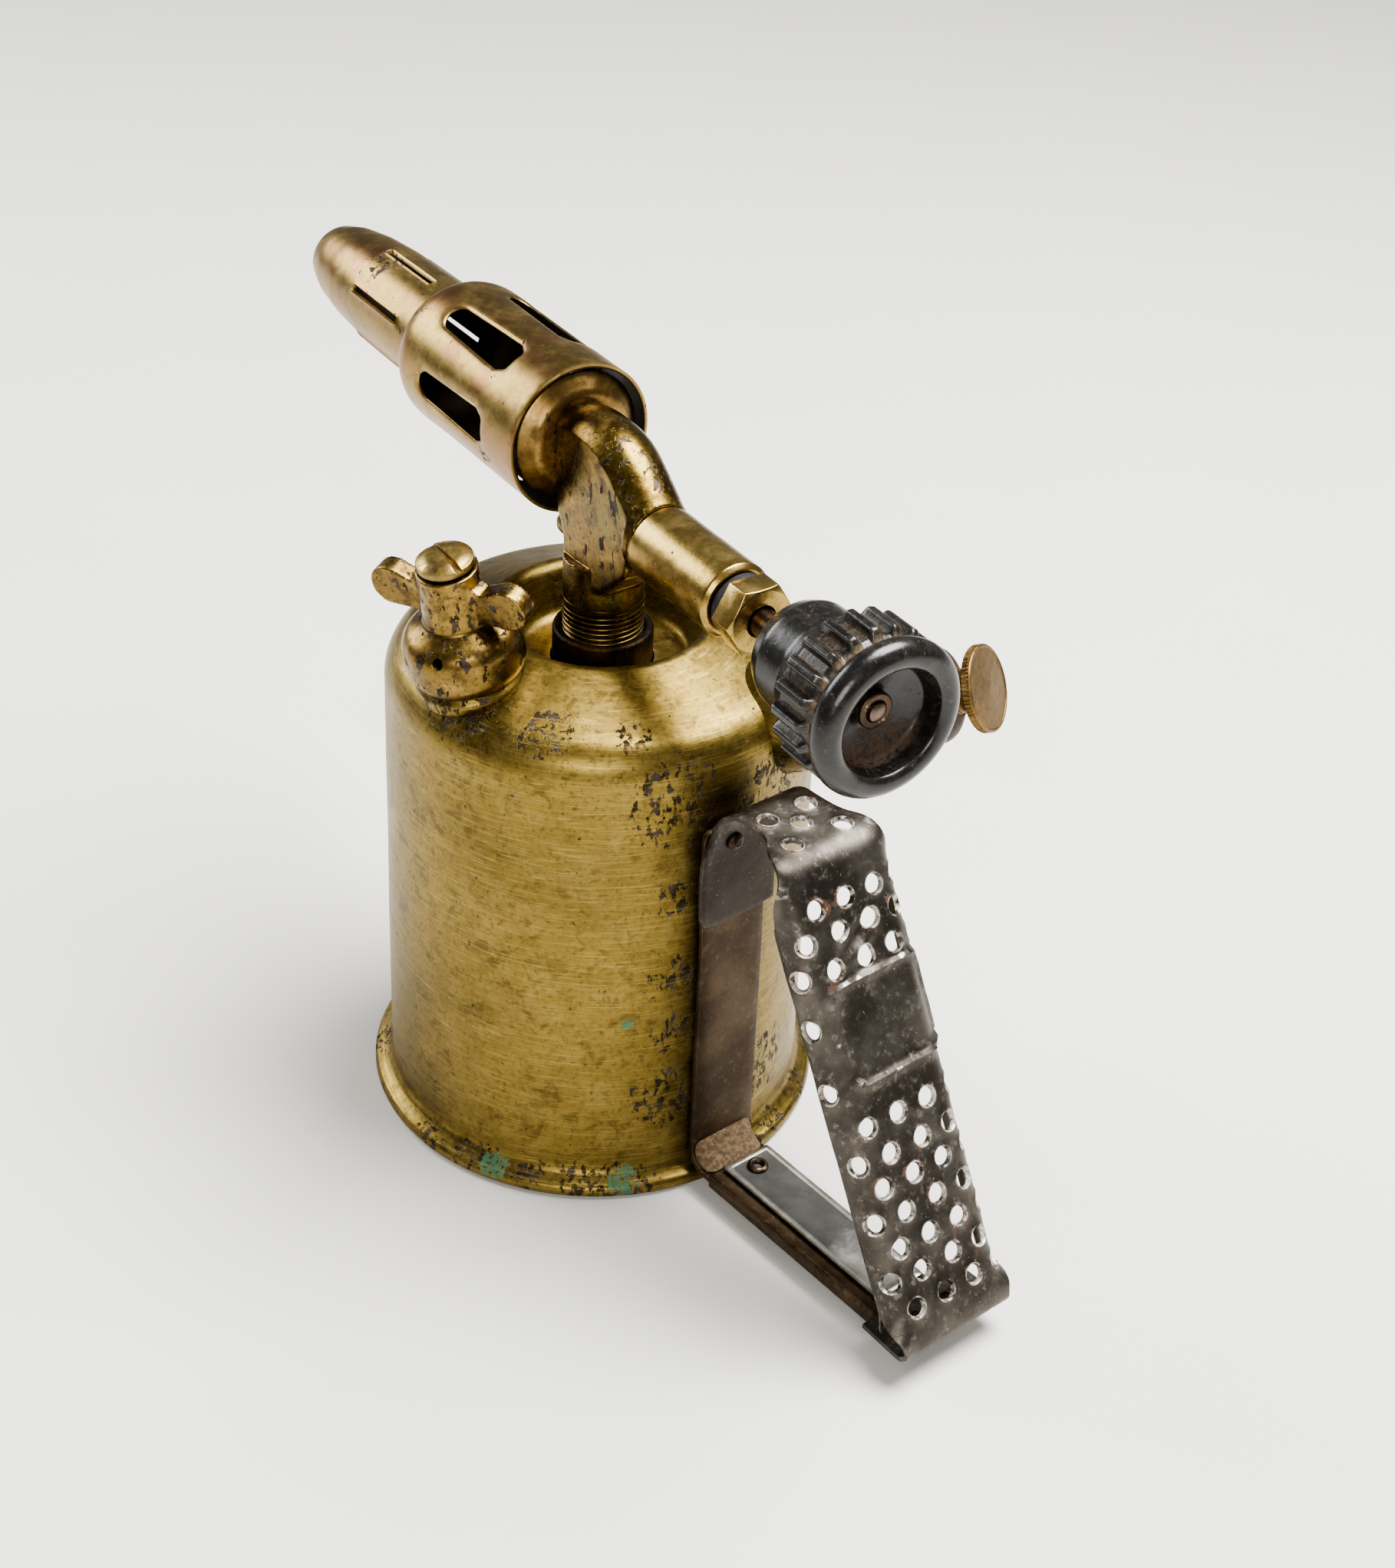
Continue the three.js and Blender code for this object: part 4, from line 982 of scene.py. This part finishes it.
air_slot = rounded([*arc(0, 42.9, 3, 15, 165, 12), (-3.6, 24, 1.2), (-2.4, 21.6, 1),
                    (2.4, 21.6, 1), (3.6, 24, 1.2)], 4)
slot_start = length_at(burner_place, burner_length, 1, 64.2)
slot_end = length_at(burner_place, burner_length, 1, 83.2)
half_slot = 0.9 * FLAT_RADIUS / 10.5
jet_slot = rounded([(-half_slot, slot_start, 0.6), (half_slot, slot_start, 0.6), (half_slot, slot_end, 0.6),
                    (-half_slot, slot_end, 0.6)], 3)
burner_holes = []
for k in range(6):
    at_air = (math.radians(60 * k + 30) - SEAM) * FLAT_RADIUS
    at_jet = ((math.radians(60 * k - 6) - SEAM) % (2 * math.pi)) * FLAT_RADIUS
    burner_holes.append(resampled([(at_air + x, z - BURNER_BACK) for x, z in air_slot], 0.8, closed=True))
    burner_holes.append(resampled([(at_jet + x, z) for x, z in jet_slot], 0.9, closed=True))


def burner_relief(u, v, gap):
    if v < slot_start - 6:
        return -0.55 * math.exp(-gap / 0.55)
    return 0.28 * math.exp(-gap / 0.5)


around = 2 * math.pi * FLAT_RADIUS
burner_edge = [(0, 0), (around, 0), (around, burner_length), (0, burner_length)]
burner = sheet(burner_edge, burner_holes, on_burner, 1.25, BURNER_WALL, burner_relief, closed=True)
show(moved(burner, BURNER), "burner_shell", "burner", "tank", "burner_brass", "burner_tube",
     "burner_nozzle", sharp=48)

# ---- Valve -----------------------------------------------------------------------------------

sleeve_outline = rounded([(3.3, 19.4), (7.3, 19.4, 0.4), (7.3, 43.2, 0.5), (6.5, 44, 0.3),
                          (5.3, 44, 0.2), (5.3, 40), (3.3, 39)], 4)
sleeve = worked(sleeve_outline, 1.5, 112, 0.05, 6)
show(moved(sleeve, VALVE), "valve_sleeve", "turned", "tank", "turned_brass", "stuffing_box")

packing_outline = rounded([(3.05, 40.3), (5, 40.3), (5, 44.3), (6, 44.3, 0.3), (6, 46, 0.3),
                           (3.05, 46)], 3)
packing = worked(packing_outline, 0.5, 72, 0.22, 7)
show(moved(packing, VALVE), "gland_rings", "packing", "tank", "graphite_packing", "gland_packing")

NUT_LOW, NUT_HIGH, NUT_FLATS = 46.3, 51.6, 12.4
hexagon = arc(0, 0, NUT_FLATS / math.sqrt(3), 90, 390, 5)
nut = moved(prism(hexagon, NUT_HIGH - NUT_LOW), shift(0, 0, NUT_LOW))
cone = turned([(0, NUT_LOW - 1), (9, NUT_LOW - 1), (9, NUT_HIGH - 1.5), (5.8, NUT_HIGH + 0.05),
                       (0, NUT_HIGH + 0.05)], 96)
carved(nut, cone, operation="INTERSECT")
carved(nut, bar(3.02, 40, 60))
show(moved(bevelled(nut, 0.28, 3, 25), VALVE), "hex_nut", "turned", "tank", "turned_brass", "gland_nut")

spindle_outline = [(0, 13.3), (2.7, 13.3), (2.7, 74), (1.9, 74), (1.9, 85.0), (1.7, 85.4),
                   (1.1, 85.7), (0, 85.8)]
spindle = turned(resampled(spindle_outline, 1.5), 64, uneven(0.04, 8))
show(moved(spindle, VALVE), "valve_stem", "spindle", "valve", "spindle_steel", "valve_spindle")

RIBS = 20
KNOB_BODY, KNOB_RIB = 13.1, 14.75


def ribbed(angle, radius, height):
    """Moulded ribs that rise out of the hub's slope and end short of the knob's rim."""
    if radius < 9 or height > 84.6:
        return radius, height
    wave = 0.5 + 0.5 * math.cos(angle * RIBS)
    rib = smooth(0.36, 0.86, wave)
    window = smooth(73.2, 75.8, height) * smooth(84.2, 82.6, height)
    if radius > 12.2:
        groove = 0.55 * smooth(82.8, 83.8, height)
        return radius - groove + (KNOB_RIB - KNOB_BODY) * rib * window, height
    return radius + 0.9 * rib * smooth(72.5, 75.2, height), height


knob_hub = rounded([(3, 60), (6, 60, 1.2), (8.8, 60.8, 2.4), (10.4, 64.4, 3), (10.4, 70.5, 3),
                    (11.2, 73.4, 2), (KNOB_BODY, 75.4, 1), (KNOB_BODY, 84.0)], 6)
knob_dish = rounded([(9.9, 88.6), (9.2, 85.2, 1.2), (3.6, 83.4), (2.2, 83.4)], 5)
knob_outline = resampled([(3, 60), *knob_hub[1:], *arc(11.9, 87.2, 2.85, -60, 128, 20),
                          *knob_dish[1:], (2.2, 74.3), (3, 74.3)], 0.5)
knob = turned(knob_outline, 400, ribbed)
show(moved(knob, VALVE), "control_knob", "knob", "valve", "bakelite", "valve_knob", sharp=50)

washer_outline = rounded([(2.0, 83.6), (3.4, 83.6), (3.4, 84.9, 0.4), (2.0, 84.9, 0.2)], 4)
show(moved(turned(washer_outline, 56), VALVE), "stem_washer", "rivet", "valve", "spindle_steel",
     "knob_washer")

# ---- Filler ----------------------------------------------------------------------------------

neck_outline = rounded([(7.2, -6), (8.4, -6), (8.4, -3.2), (10.1, -3.0, 0.6), (10.45, -0.4, 1.1),
                        (9.3, 0.9, 0.8), (8.4, 0.9), (8.4, 8.6, 0.4), (7.2, 8.6)], 5)
filler_neck = worked(neck_outline, 1.0, 112, 0.14, 9)
show(moved(filler_neck, FILLER), "filler_collar", "tank", "tank", "tank_brass", "filler_neck")

cap_outline = [(8.7, 1.8), (10.7, 1.8), (11.3, 3.4), *arc(6.9, 7.8, 4.4, 0, 70, 8), (6.3, 13.2), (5.8, 20),
               (5.9, 24.2), (2.9, 24.2), (2.9, 12.2), (1.2, 12.2), (1.2, 10.4), (8.7, 10.4)]
cap_barrel = turned(cap_outline, 96)
wing = [(0, 13.4), (8, 14.2), *arc(12.4, 18.3, 4.1, -80, 120, 18), (7.4, 20.6), (4, 22.8), (0, 22.8)]
wing_line = [(-x, z) for x, z in wing[::-1][:-1]] + wing
wings = moved(upright_slab(wing_line, 4.0), spin(113.5, "Z"))
fin_line = rounded([(3, 10), (7.6, 11.5, 1), (6.8, 22.5, 1), (3, 23)], 3)
fin = moved(upright_slab(fin_line, 1.6), spin(129.5 + 75, "Z"))
ball = moved(turned([(0, -1.5), *arc(0, 0, 1.5, -80, 80, 8), (0, 1.5)], 20),
             spin(129.5, "Z") @ shift(8.7, 0, 11.4))
cap = fused(joined(cap_barrel, wings, fin, ball), 0.3, 5)
vent = moved(bar(1.0, 4, 18, 24), spin(32, "Z") @ shift(0, 0, 10) @ spin(90, "Y"))
carved(cap, vent, bar(3.1, 12.4, 30, 64))
show(moved(cap, FILLER), "wing_cap", "cap", "filler", "cast_brass", "filler_cap", sharp=50)

screw_head = rounded([(5.2, 24.4, 0.3), (5.45, 25.6, 0.5), (5.2, 26.7, 0.5)], 4)
screw_outline = [(0, 13.6), (2.5, 13.6), (2.5, 24.4), *screw_head, (3.6, 27.0), (0, 27.1)]
screw = turned(resampled(screw_outline, 1.0), 80, uneven(0.05, 10))
carved(screw, moved(box(0, 0, 26.6, 14, 1.3, 1.5), spin(84.5, "Z")))
show(moved(bevelled(screw, 0.12, 2, 40), FILLER), "vent_screw", "screw", "release",
     "turned_brass", "release_screw")

# ---- Pump ------------------------------------------------------------------------------------

pump_boss_outline = rounded([(8.2, -8), (11.6, -8), (11.3, 1, 2), (10.9, 5, 0.8), (8.2, 5, 0.3)], 5)
pump_boss = worked(pump_boss_outline, 1.2, 112, 0.12, 11)
show(moved(pump_boss, PUMP), "pump_collar", "tank", "tank", "tank_brass", "pump_boss")

show(moved(bar(7.9, -33, 24, 72, bore=7), PUMP), "pump_tube", "pump_dark", "tank",
     "turned_brass", "pump_barrel")


def knurled(teeth, low, high, depth, outside):
    """A change for turned() that cuts teeth between two heights, outside a radius."""
    def change(angle, radius, height):
        if radius < outside or not low < height < high:
            return radius, height
        return radius - depth * (0.5 + 0.5 * math.cos(angle * teeth)), height
    return change


pump_cap_outline = resampled(
    [(8.2, 12), (9.0, 12), (9.2, 12.4), (9.2, 27.4), *arc(5.6, 27.4, 3.6, 0, 80, 8), (2.55, 31),
     (2.55, 24.3), (8.2, 24.3)], 0.8)
pump_cap = turned(pump_cap_outline, 240, knurled(60, 13, 25.5, 0.3, 9.1))
show(moved(pump_cap, PUMP), "pump_lid", "pump_dark", "tank", "turned_brass", "pump_cap")

rod = turned([(0, -28), (1.5, -28), (1.5, -20.4), (2.2, -20.4), (2.2, 36), (0, 36)], 48)
show(moved(rod, PUMP), "pump_stem", "spindle", "pump_handle", "spindle_steel", "pump_rod")

pump_knob_side = rounded([(4, 31.6, 0.3), (4, 34, 1.2), (5.4, 36, 1), (8.15, 36.7, 0.2),
                          (8.15, 38.3, 0.35), (7.6, 38.7, 0.4)], 4)
pump_knob_outline = resampled(
    [(0, 36.3), (2.5, 36.3), (2.5, 31.6), *pump_knob_side, (0, 38.75)], 0.4)
pump_knob = turned(pump_knob_outline, 300, knurled(66, 36.4, 38.1, 0.22, 8.0))
show(moved(pump_knob, PUMP), "pump_grip", "pump", "pump_handle", "turned_brass", "pump_knob")

# ---- Handle ----------------------------------------------------------------------------------

STRIP_FACE, FOOT_TOP, STRIP_THICK = 44.6, 5.1, 1.2
STRIP_SIDES = (-9.3, 6.0)
strip_line = [(STRIP_FACE, 86), *arc(STRIP_FACE + 3, FOOT_TOP + 3, 3, 180, 270, 8), (109, FOOT_TOP)]
strip_place, strip_length = track(resampled(strip_line, 1.0))


def on_strip(u, v):
    (x, z), way = strip_place(v)
    lean = 0.7 * smooth(40, 0, v) - 0.6 * smooth(80, 130, v)
    return Vector((x, u - lean, z)), Vector((-way.y, 0, way.x))


def strip_relief(u, v, gap):
    edge = min(u - STRIP_SIDES[0], STRIP_SIDES[1] - u)
    return 0.1 * ripple((u, v, 0), 9, 1.0) - 0.25 * math.exp(-edge / 0.8)


strip_outline = rounded([(STRIP_SIDES[0], 0, 1.5), (STRIP_SIDES[1], 0, 1.5),
                         (STRIP_SIDES[1], strip_length, 1.2), (STRIP_SIDES[0], strip_length, 1.2)], 4)
bracket = sheet(strip_outline, [], on_strip, 1.8, STRIP_THICK, strip_relief)
folds = []
for side in STRIP_SIDES:
    inwards = 0.5 if side < 0 else -0.5
    fold = box(76.5, side + inwards + 0.6, FOOT_TOP - 1.7, 55, 1.1, 3.3)
    folds.append(bevelled(fold, 0.45, 3))
show(moved(joined(bracket, *folds), HANDLE), "handle_strip", "foot", "tank", "handle_steel",
     "handle_bracket", sharp=45)

SLOPE = math.radians(62)
ARCH, BEND = 50.9, 64
grip_lip = rounded([(110.9, 10.5), (111.9, 7.4, 1.6), (109.6, 5.4, 1.2), (99, 5.4)], 5)
grip_line = resampled([(44.9, 65), *arc(ARCH, 86, 6, 180, 90, 10), *arc(BEND, 86, 6, 90, 28, 10),
                       (110.9, 10.5), *grip_lip[1:]], 1.0)
grip_place, grip_length = track(grip_line)
slope_start = length_at(grip_place, grip_length, 0, BEND + 6 * math.sin(SLOPE))
slope_end = slope_start + 88.7
FLAT_HALF, ROLL = 8.9, 4.5


def on_grip(u, v):
    """Flat across the middle, with both edges rolled back, except on the arch and the lip."""
    (x, z), way = grip_place(v)
    bend = smooth(slope_start - 9, slope_start + 5, v) * smooth(slope_end + 1, slope_end - 6, v)
    bend *= math.pi / 2
    past = max(0.0, abs(u) - FLAT_HALF)
    curved = min(past, ROLL * math.pi / 2)
    turn = bend * curved / (ROLL * math.pi / 2)
    if bend > 1e-3:
        radius = curved / turn if turn > 1e-6 else 0
        across = radius * math.sin(turn) + (past - curved) * math.cos(turn)
        depth = radius * (1 - math.cos(turn)) + (past - curved) * math.sin(turn)
    else:
        across, depth = past, 0
    side = 1 if u > 0 else -1
    outwards = Vector((-way.y, 0, way.x))
    point = Vector((x, side * (min(abs(u), FLAT_HALF) + across), z)) - outwards * depth
    return point, outwards * math.cos(turn) + Vector((0, side * math.sin(turn), 0))


FRAME_LOW, FRAME_HIGH, FRAME_SIDES, FRAME_CORNER = 20.5, 39.5, (-9.5, 14.0), 4.0


def frame_distance(u, s):
    """Distance from the embossed frame's line."""
    half_wide = (FRAME_SIDES[1] - FRAME_SIDES[0]) / 2 - FRAME_CORNER
    half_long = (FRAME_HIGH - FRAME_LOW) / 2 - FRAME_CORNER
    a = abs(u - sum(FRAME_SIDES) / 2) - half_wide
    b = abs(s - (FRAME_LOW + FRAME_HIGH) / 2) - half_long
    return abs(math.hypot(max(a, 0), max(b, 0)) + min(max(a, b), 0) - FRAME_CORNER)


def grip_relief(u, v, gap):
    s = v - slope_start
    height = 0.16 * ripple((u, v, 0), 11, 5.0) + 0.05 * ripple((u, v, 0), 3, 6.0)
    height += 0.9 * math.exp(-(frame_distance(u, s) / 0.6) ** 2)
    crease = math.exp(-((u - 0.5) / 4.5) ** 2 - ((s - 15) / 6) ** 2)
    height -= crease * (0.5 + 0.5 * math.sin(s * 1.1 + u * 0.6))
    return height + 0.22 * math.exp(-gap / 0.45)


def round_hole(u, v, radius=2.05):
    turns = [2 * math.pi * k / 22 for k in range(22)]
    return [(u + radius * math.cos(turn), v + radius * math.sin(turn)) for turn in turns]


hole_rows = [(5.5, (-7.1, -0.1, 6.8, 13.2)), (11, (-10.9, -3.1, 4.1, 10.6)),
             (17.2, (-13.8, -6.4, 1.2, 7.9, 14.2)), (26.8, (-14.5,)), (39.1, (-14.5,))]
hole_rows += [(s, (-8.6, -1.2, 6.0, 13.0)) for s in (47.1, 59.1, 71.1, 83.1)]
hole_rows += [(s, (-12.4, -5.2, 2.6, 9.6)) for s in (53.5, 65.1, 76.9)]
punched = [round_hole(u, slope_start + s) for s, places in hole_rows for u in places]
crest = length_at(grip_place, grip_length, 0, ARCH)
punched += [round_hole(u, crest + x - ARCH, 2.0) for x, u in
            ((54, -3.6), (54, 5.6), (58, 1), (62.5, -5), (62.5, 7))]

# The grip's edges: each its own on the tab and the arch, the same on both sides of the slope.
slope_side = [(15.2, slope_start + 3), (16.6, slope_start + 8), (17, slope_start + 14),
              (17, slope_end - 9), (16.2, slope_end - 5), (14.2, slope_end - 1),
              (13.3, slope_end + 2), (13.2, slope_end + 6), (12.8, grip_length)]
near_side = [(-9.5, 0.3), (-11.2, 2.5), (-11.3, 15), (-9.4, 20), (-7.4, crest - 2),
             (-6.7, crest + 3), (-7.4, crest + 7), (-10.2, crest + 11),
             (-13.2, slope_start - 0.5), *[(-u, v) for u, v in slope_side]]
far_side = [(6.6, 0.8), (6.6, 15), (7.6, 21), (9, crest - 2), (9.5, crest + 4),
            (10.2, crest + 8), (12, crest + 12), (13.6, slope_start - 0.5), *slope_side]
grip_outline = curve_through(near_side, 4) + curve_through(far_side, 4)[::-1] + [(0, 0.0)]

# Extra points where the embossed frame will be.
frame_guides = []
for k in range(80):
    a = 2 * math.pi * k / 80
    u = sum(FRAME_SIDES) / 2 + (FRAME_SIDES[1] - FRAME_SIDES[0]) / 2 * math.cos(a)
    s = (FRAME_LOW + FRAME_HIGH) / 2 + (FRAME_HIGH - FRAME_LOW) / 2 * math.sin(a)
    frame_guides.append((u, slope_start + s))
for step in range(30):
    for s in (FRAME_LOW, FRAME_HIGH):
        for aside in (-0.7, 0, 0.7):
            frame_guides.append((FRAME_SIDES[0] + 3 + step * 0.6, slope_start + s + aside))
    for u in FRAME_SIDES:
        for aside in (-0.7, 0, 0.7):
            frame_guides.append((u + aside, slope_start + FRAME_LOW + 3 + step * 0.45))
grip = sheet(grip_outline, punched, on_grip, 1.1, 1.0, grip_relief, guides=frame_guides)
show(moved(grip, HANDLE), "handle_shell", "handle", "tank", "handle_steel", "handle_grip", sharp=45)


def rivet(head, height, place):
    dome = rounded([(head, 0), (head, height * 0.35, 0.4), (head * 0.62, height * 0.9, 0.9),
                    (head * 0.2, height, 0.3)], 4)
    outline = [(0, -1.2), (1.2, -1.2), (1.2, 0), *dome, (0, height)]
    return moved(turned(outline, 40, uneven(0.07, 9)), place)


top_place = HANDLE @ shift(45.9, -4, 83) @ spin(90, "Y")
show(rivet(1.8, 1.1, top_place), "tab_rivet", "rivet", "tank", "handle_steel",
     "handle_top_rivet")
for side, node in ((-4, "handle_foot_rivet_right"), (4, "handle_foot_rivet_left")):
    place = HANDLE @ shift(104, side, 6.4)
    show(rivet(2.2, 1.2, place), node + "_head", "rivet", "tank", "handle_steel", node)


def on_plate(u, v):
    return Vector((u, v, 6.0)), Vector((0, 0, 1))


def plate_relief(u, v, gap):
    edge = min(u - PLATE_START, PLATE_END - u, PLATE_HALF - abs(v))
    return 0.18 * math.exp(-((edge - 0.75) / 0.4) ** 2) + 0.05 * ripple((u, v, 0), 8, 3.0)


plate_corners = rounded([(PLATE_START, -PLATE_HALF, 0.8), (PLATE_END, -PLATE_HALF, 0.8),
                         (PLATE_END, PLATE_HALF, 0.8), (PLATE_START, PLATE_HALF, 0.8)], 3)
INSETS = (0.4, 0.75, 1.1)
border_guides = [(x, side * (PLATE_HALF - inset)) for x in np.arange(51, 95, 0.8)
                 for side in (-1, 1) for inset in INSETS]
border_guides += [(end + inset * way, y) for end, way in ((PLATE_START, 1), (PLATE_END, -1))
                  for inset in INSETS for y in np.arange(-5, 5.1, 0.8)]
plate = sheet(plate_corners, [], on_plate, 1.4, 0.6, plate_relief, guides=border_guides)
show(moved(plate, HANDLE), "label_blank", "plate", "tank", "label_metal", "label_plate")

eyelet_outline = rounded([(0.9, -1), (1.3, -1), (1.3, 0), (2.1, 0), (2.2, 0.6, 0.4),
                          (1.5, 1.0, 0.4), (0.9, 0.4, 0.2)], 4)
eyelet = worked(eyelet_outline, 0.4, 40, 0.2, 12)
show(moved(eyelet, HANDLE @ shift(54, 0, 6.05)), "label_eyelet", "rivet", "tank", "inner_brass",
     "label_rivet")

# Solder and dirt in the corner where the strip turns out into the foot.
grime_points, grime_rows = [], []
GRIME_STEPS, GRIME_SECTION = 26, 9
for j in range(GRIME_STEPS + 1):
    y = STRIP_SIDES[0] + 0.6 + (STRIP_SIDES[1] - STRIP_SIDES[0] - 1.2) * j / GRIME_STEPS
    bulk = smooth(0, 4, j) * smooth(GRIME_STEPS, GRIME_STEPS - 4, j)
    bulk *= 0.85 + 0.4 * ripple((y, 0, 0), 3.5, 2.0)
    row = []
    for k in range(GRIME_SECTION):
        turn = math.pi + math.pi / 2 * k / (GRIME_SECTION - 1)
        lumps = 1 + 0.3 * ripple((y, k * 0.8, 0), 1.6, 4.0)
        reach = 5.2 - 1.5 * bulk * lumps * math.sin(2 * (turn - math.pi)) ** 0.5
        row.append((50.0 + (reach + 0.2) * math.cos(turn), y, 10.4 + reach * math.sin(turn)))
    row += [(47.4, y, 5.0), (44.7, y, 5.4), (44.2, y, 8.0)]
    grime_rows.append([len(grime_points) + k for k in range(len(row))])
    grime_points += row
grime_faces = [grime_rows[0], grime_rows[-1][::-1]]
for low, high in zip(grime_rows, grime_rows[1:]):
    for k in range(len(low)):
        after = (k + 1) % len(low)
        grime_faces.append([low[k], high[k], high[after], low[after]])
grime = fused(solid(grime_points, grime_faces), 0.3, 2)
show(moved(grime, HANDLE), "corner_dirt", "grime", "tank", "handle_steel", sharp=60)

# ---- Carried-over nodes ----------------------------------------------------------------------

for node, look in {
    "tank_base": "base", "pickup_tube": "inner", "pickup_strainer": "inner", "burner_tube_carrier": "boss",
    "jet_nipple": "turned", "valve_cone": "spindle", "filler_seal": "leather", "release_seal": "rubber",
    "piston_washer": "inner", "piston_leather": "leather", "piston_nut": "inner", "check_valve_body": "inner",
    "check_valve_pip": "rubber", "check_valve_spring": "spindle",
}.items():
    for place in bpy.data.objects[node].material_slots:
        place.material = looks[look]

bpy.context.scene.view_settings.look = "AgX - Medium High Contrast"

# ---- Floor, light and camera -----------------------------------------------------------------

floor = solid([(-9, -9, 0), (9, -9, 0), (9, 9, 0), (-9, 9, 0)], [[0, 1, 2, 3]])
floor.name = "floor"
paper = Look("paper", tone(226, 224, 218))
paper.paint(paper.noise(60, 2, 0.5, 1.0), tone(232, 230, 225))
floor.data.materials.append(paper.done(0.85))


def lamp(name, place, target, size, power, colour=(1, 1, 1)):
    light = bpy.data.lights.new(name, "AREA")
    light.shape = "DISK"
    light.size = size
    light.energy = power
    light.color = colour
    made = bpy.data.objects.new(name, light)
    made.location = place
    made.rotation_euler = (Vector(target) - Vector(place)).to_track_quat("-Z", "Y").to_euler()
    bpy.context.scene.collection.objects.link(made)


centre = (0.01, 0, 0.08)
lamp("overhead", (0.1, 0.3, 0.9), centre, 0.6, 24)
lamp("window", (-0.75, -0.35, 0.5), centre, 0.5, 5.5, (0.98, 0.99, 1))
lamp("right", (0.6, -0.45, 0.45), centre, 0.35, 3.0, (1, 0.99, 0.96))

world = bpy.data.worlds.new("studio")
world.use_nodes = True
world.node_tree.nodes["Background"].inputs["Color"].default_value = (0.86, 0.85, 0.84, 1)
world.node_tree.nodes["Background"].inputs["Strength"].default_value = 0.26
bpy.context.scene.world = world

CAMERA_PLACE = Vector((366.55, -230.85, 361.24))
forward = Vector((-0.68145, 0.47362, -0.55795)).normalized()
level = Vector((0.5707, 0.8211, 0)).normalized()
upright = level.cross(forward)
roll = math.radians(2.737)
camera_right = level * math.cos(roll) + upright * math.sin(roll)
camera_up = upright * math.cos(roll) - level * math.sin(roll)
camera_data = bpy.data.cameras.new("camera")
camera_data.sensor_fit = "VERTICAL"
camera_data.sensor_height = 36
camera_data.lens = 59.88
camera_data.clip_start = 0.01
camera = bpy.data.objects.new("camera", camera_data)
turn = Matrix((camera_right, camera_up, -forward)).transposed().to_4x4()
camera.matrix_world = Matrix.Translation(CAMERA_PLACE * MM) @ turn
bpy.context.scene.collection.objects.link(camera)
bpy.context.scene.camera = camera
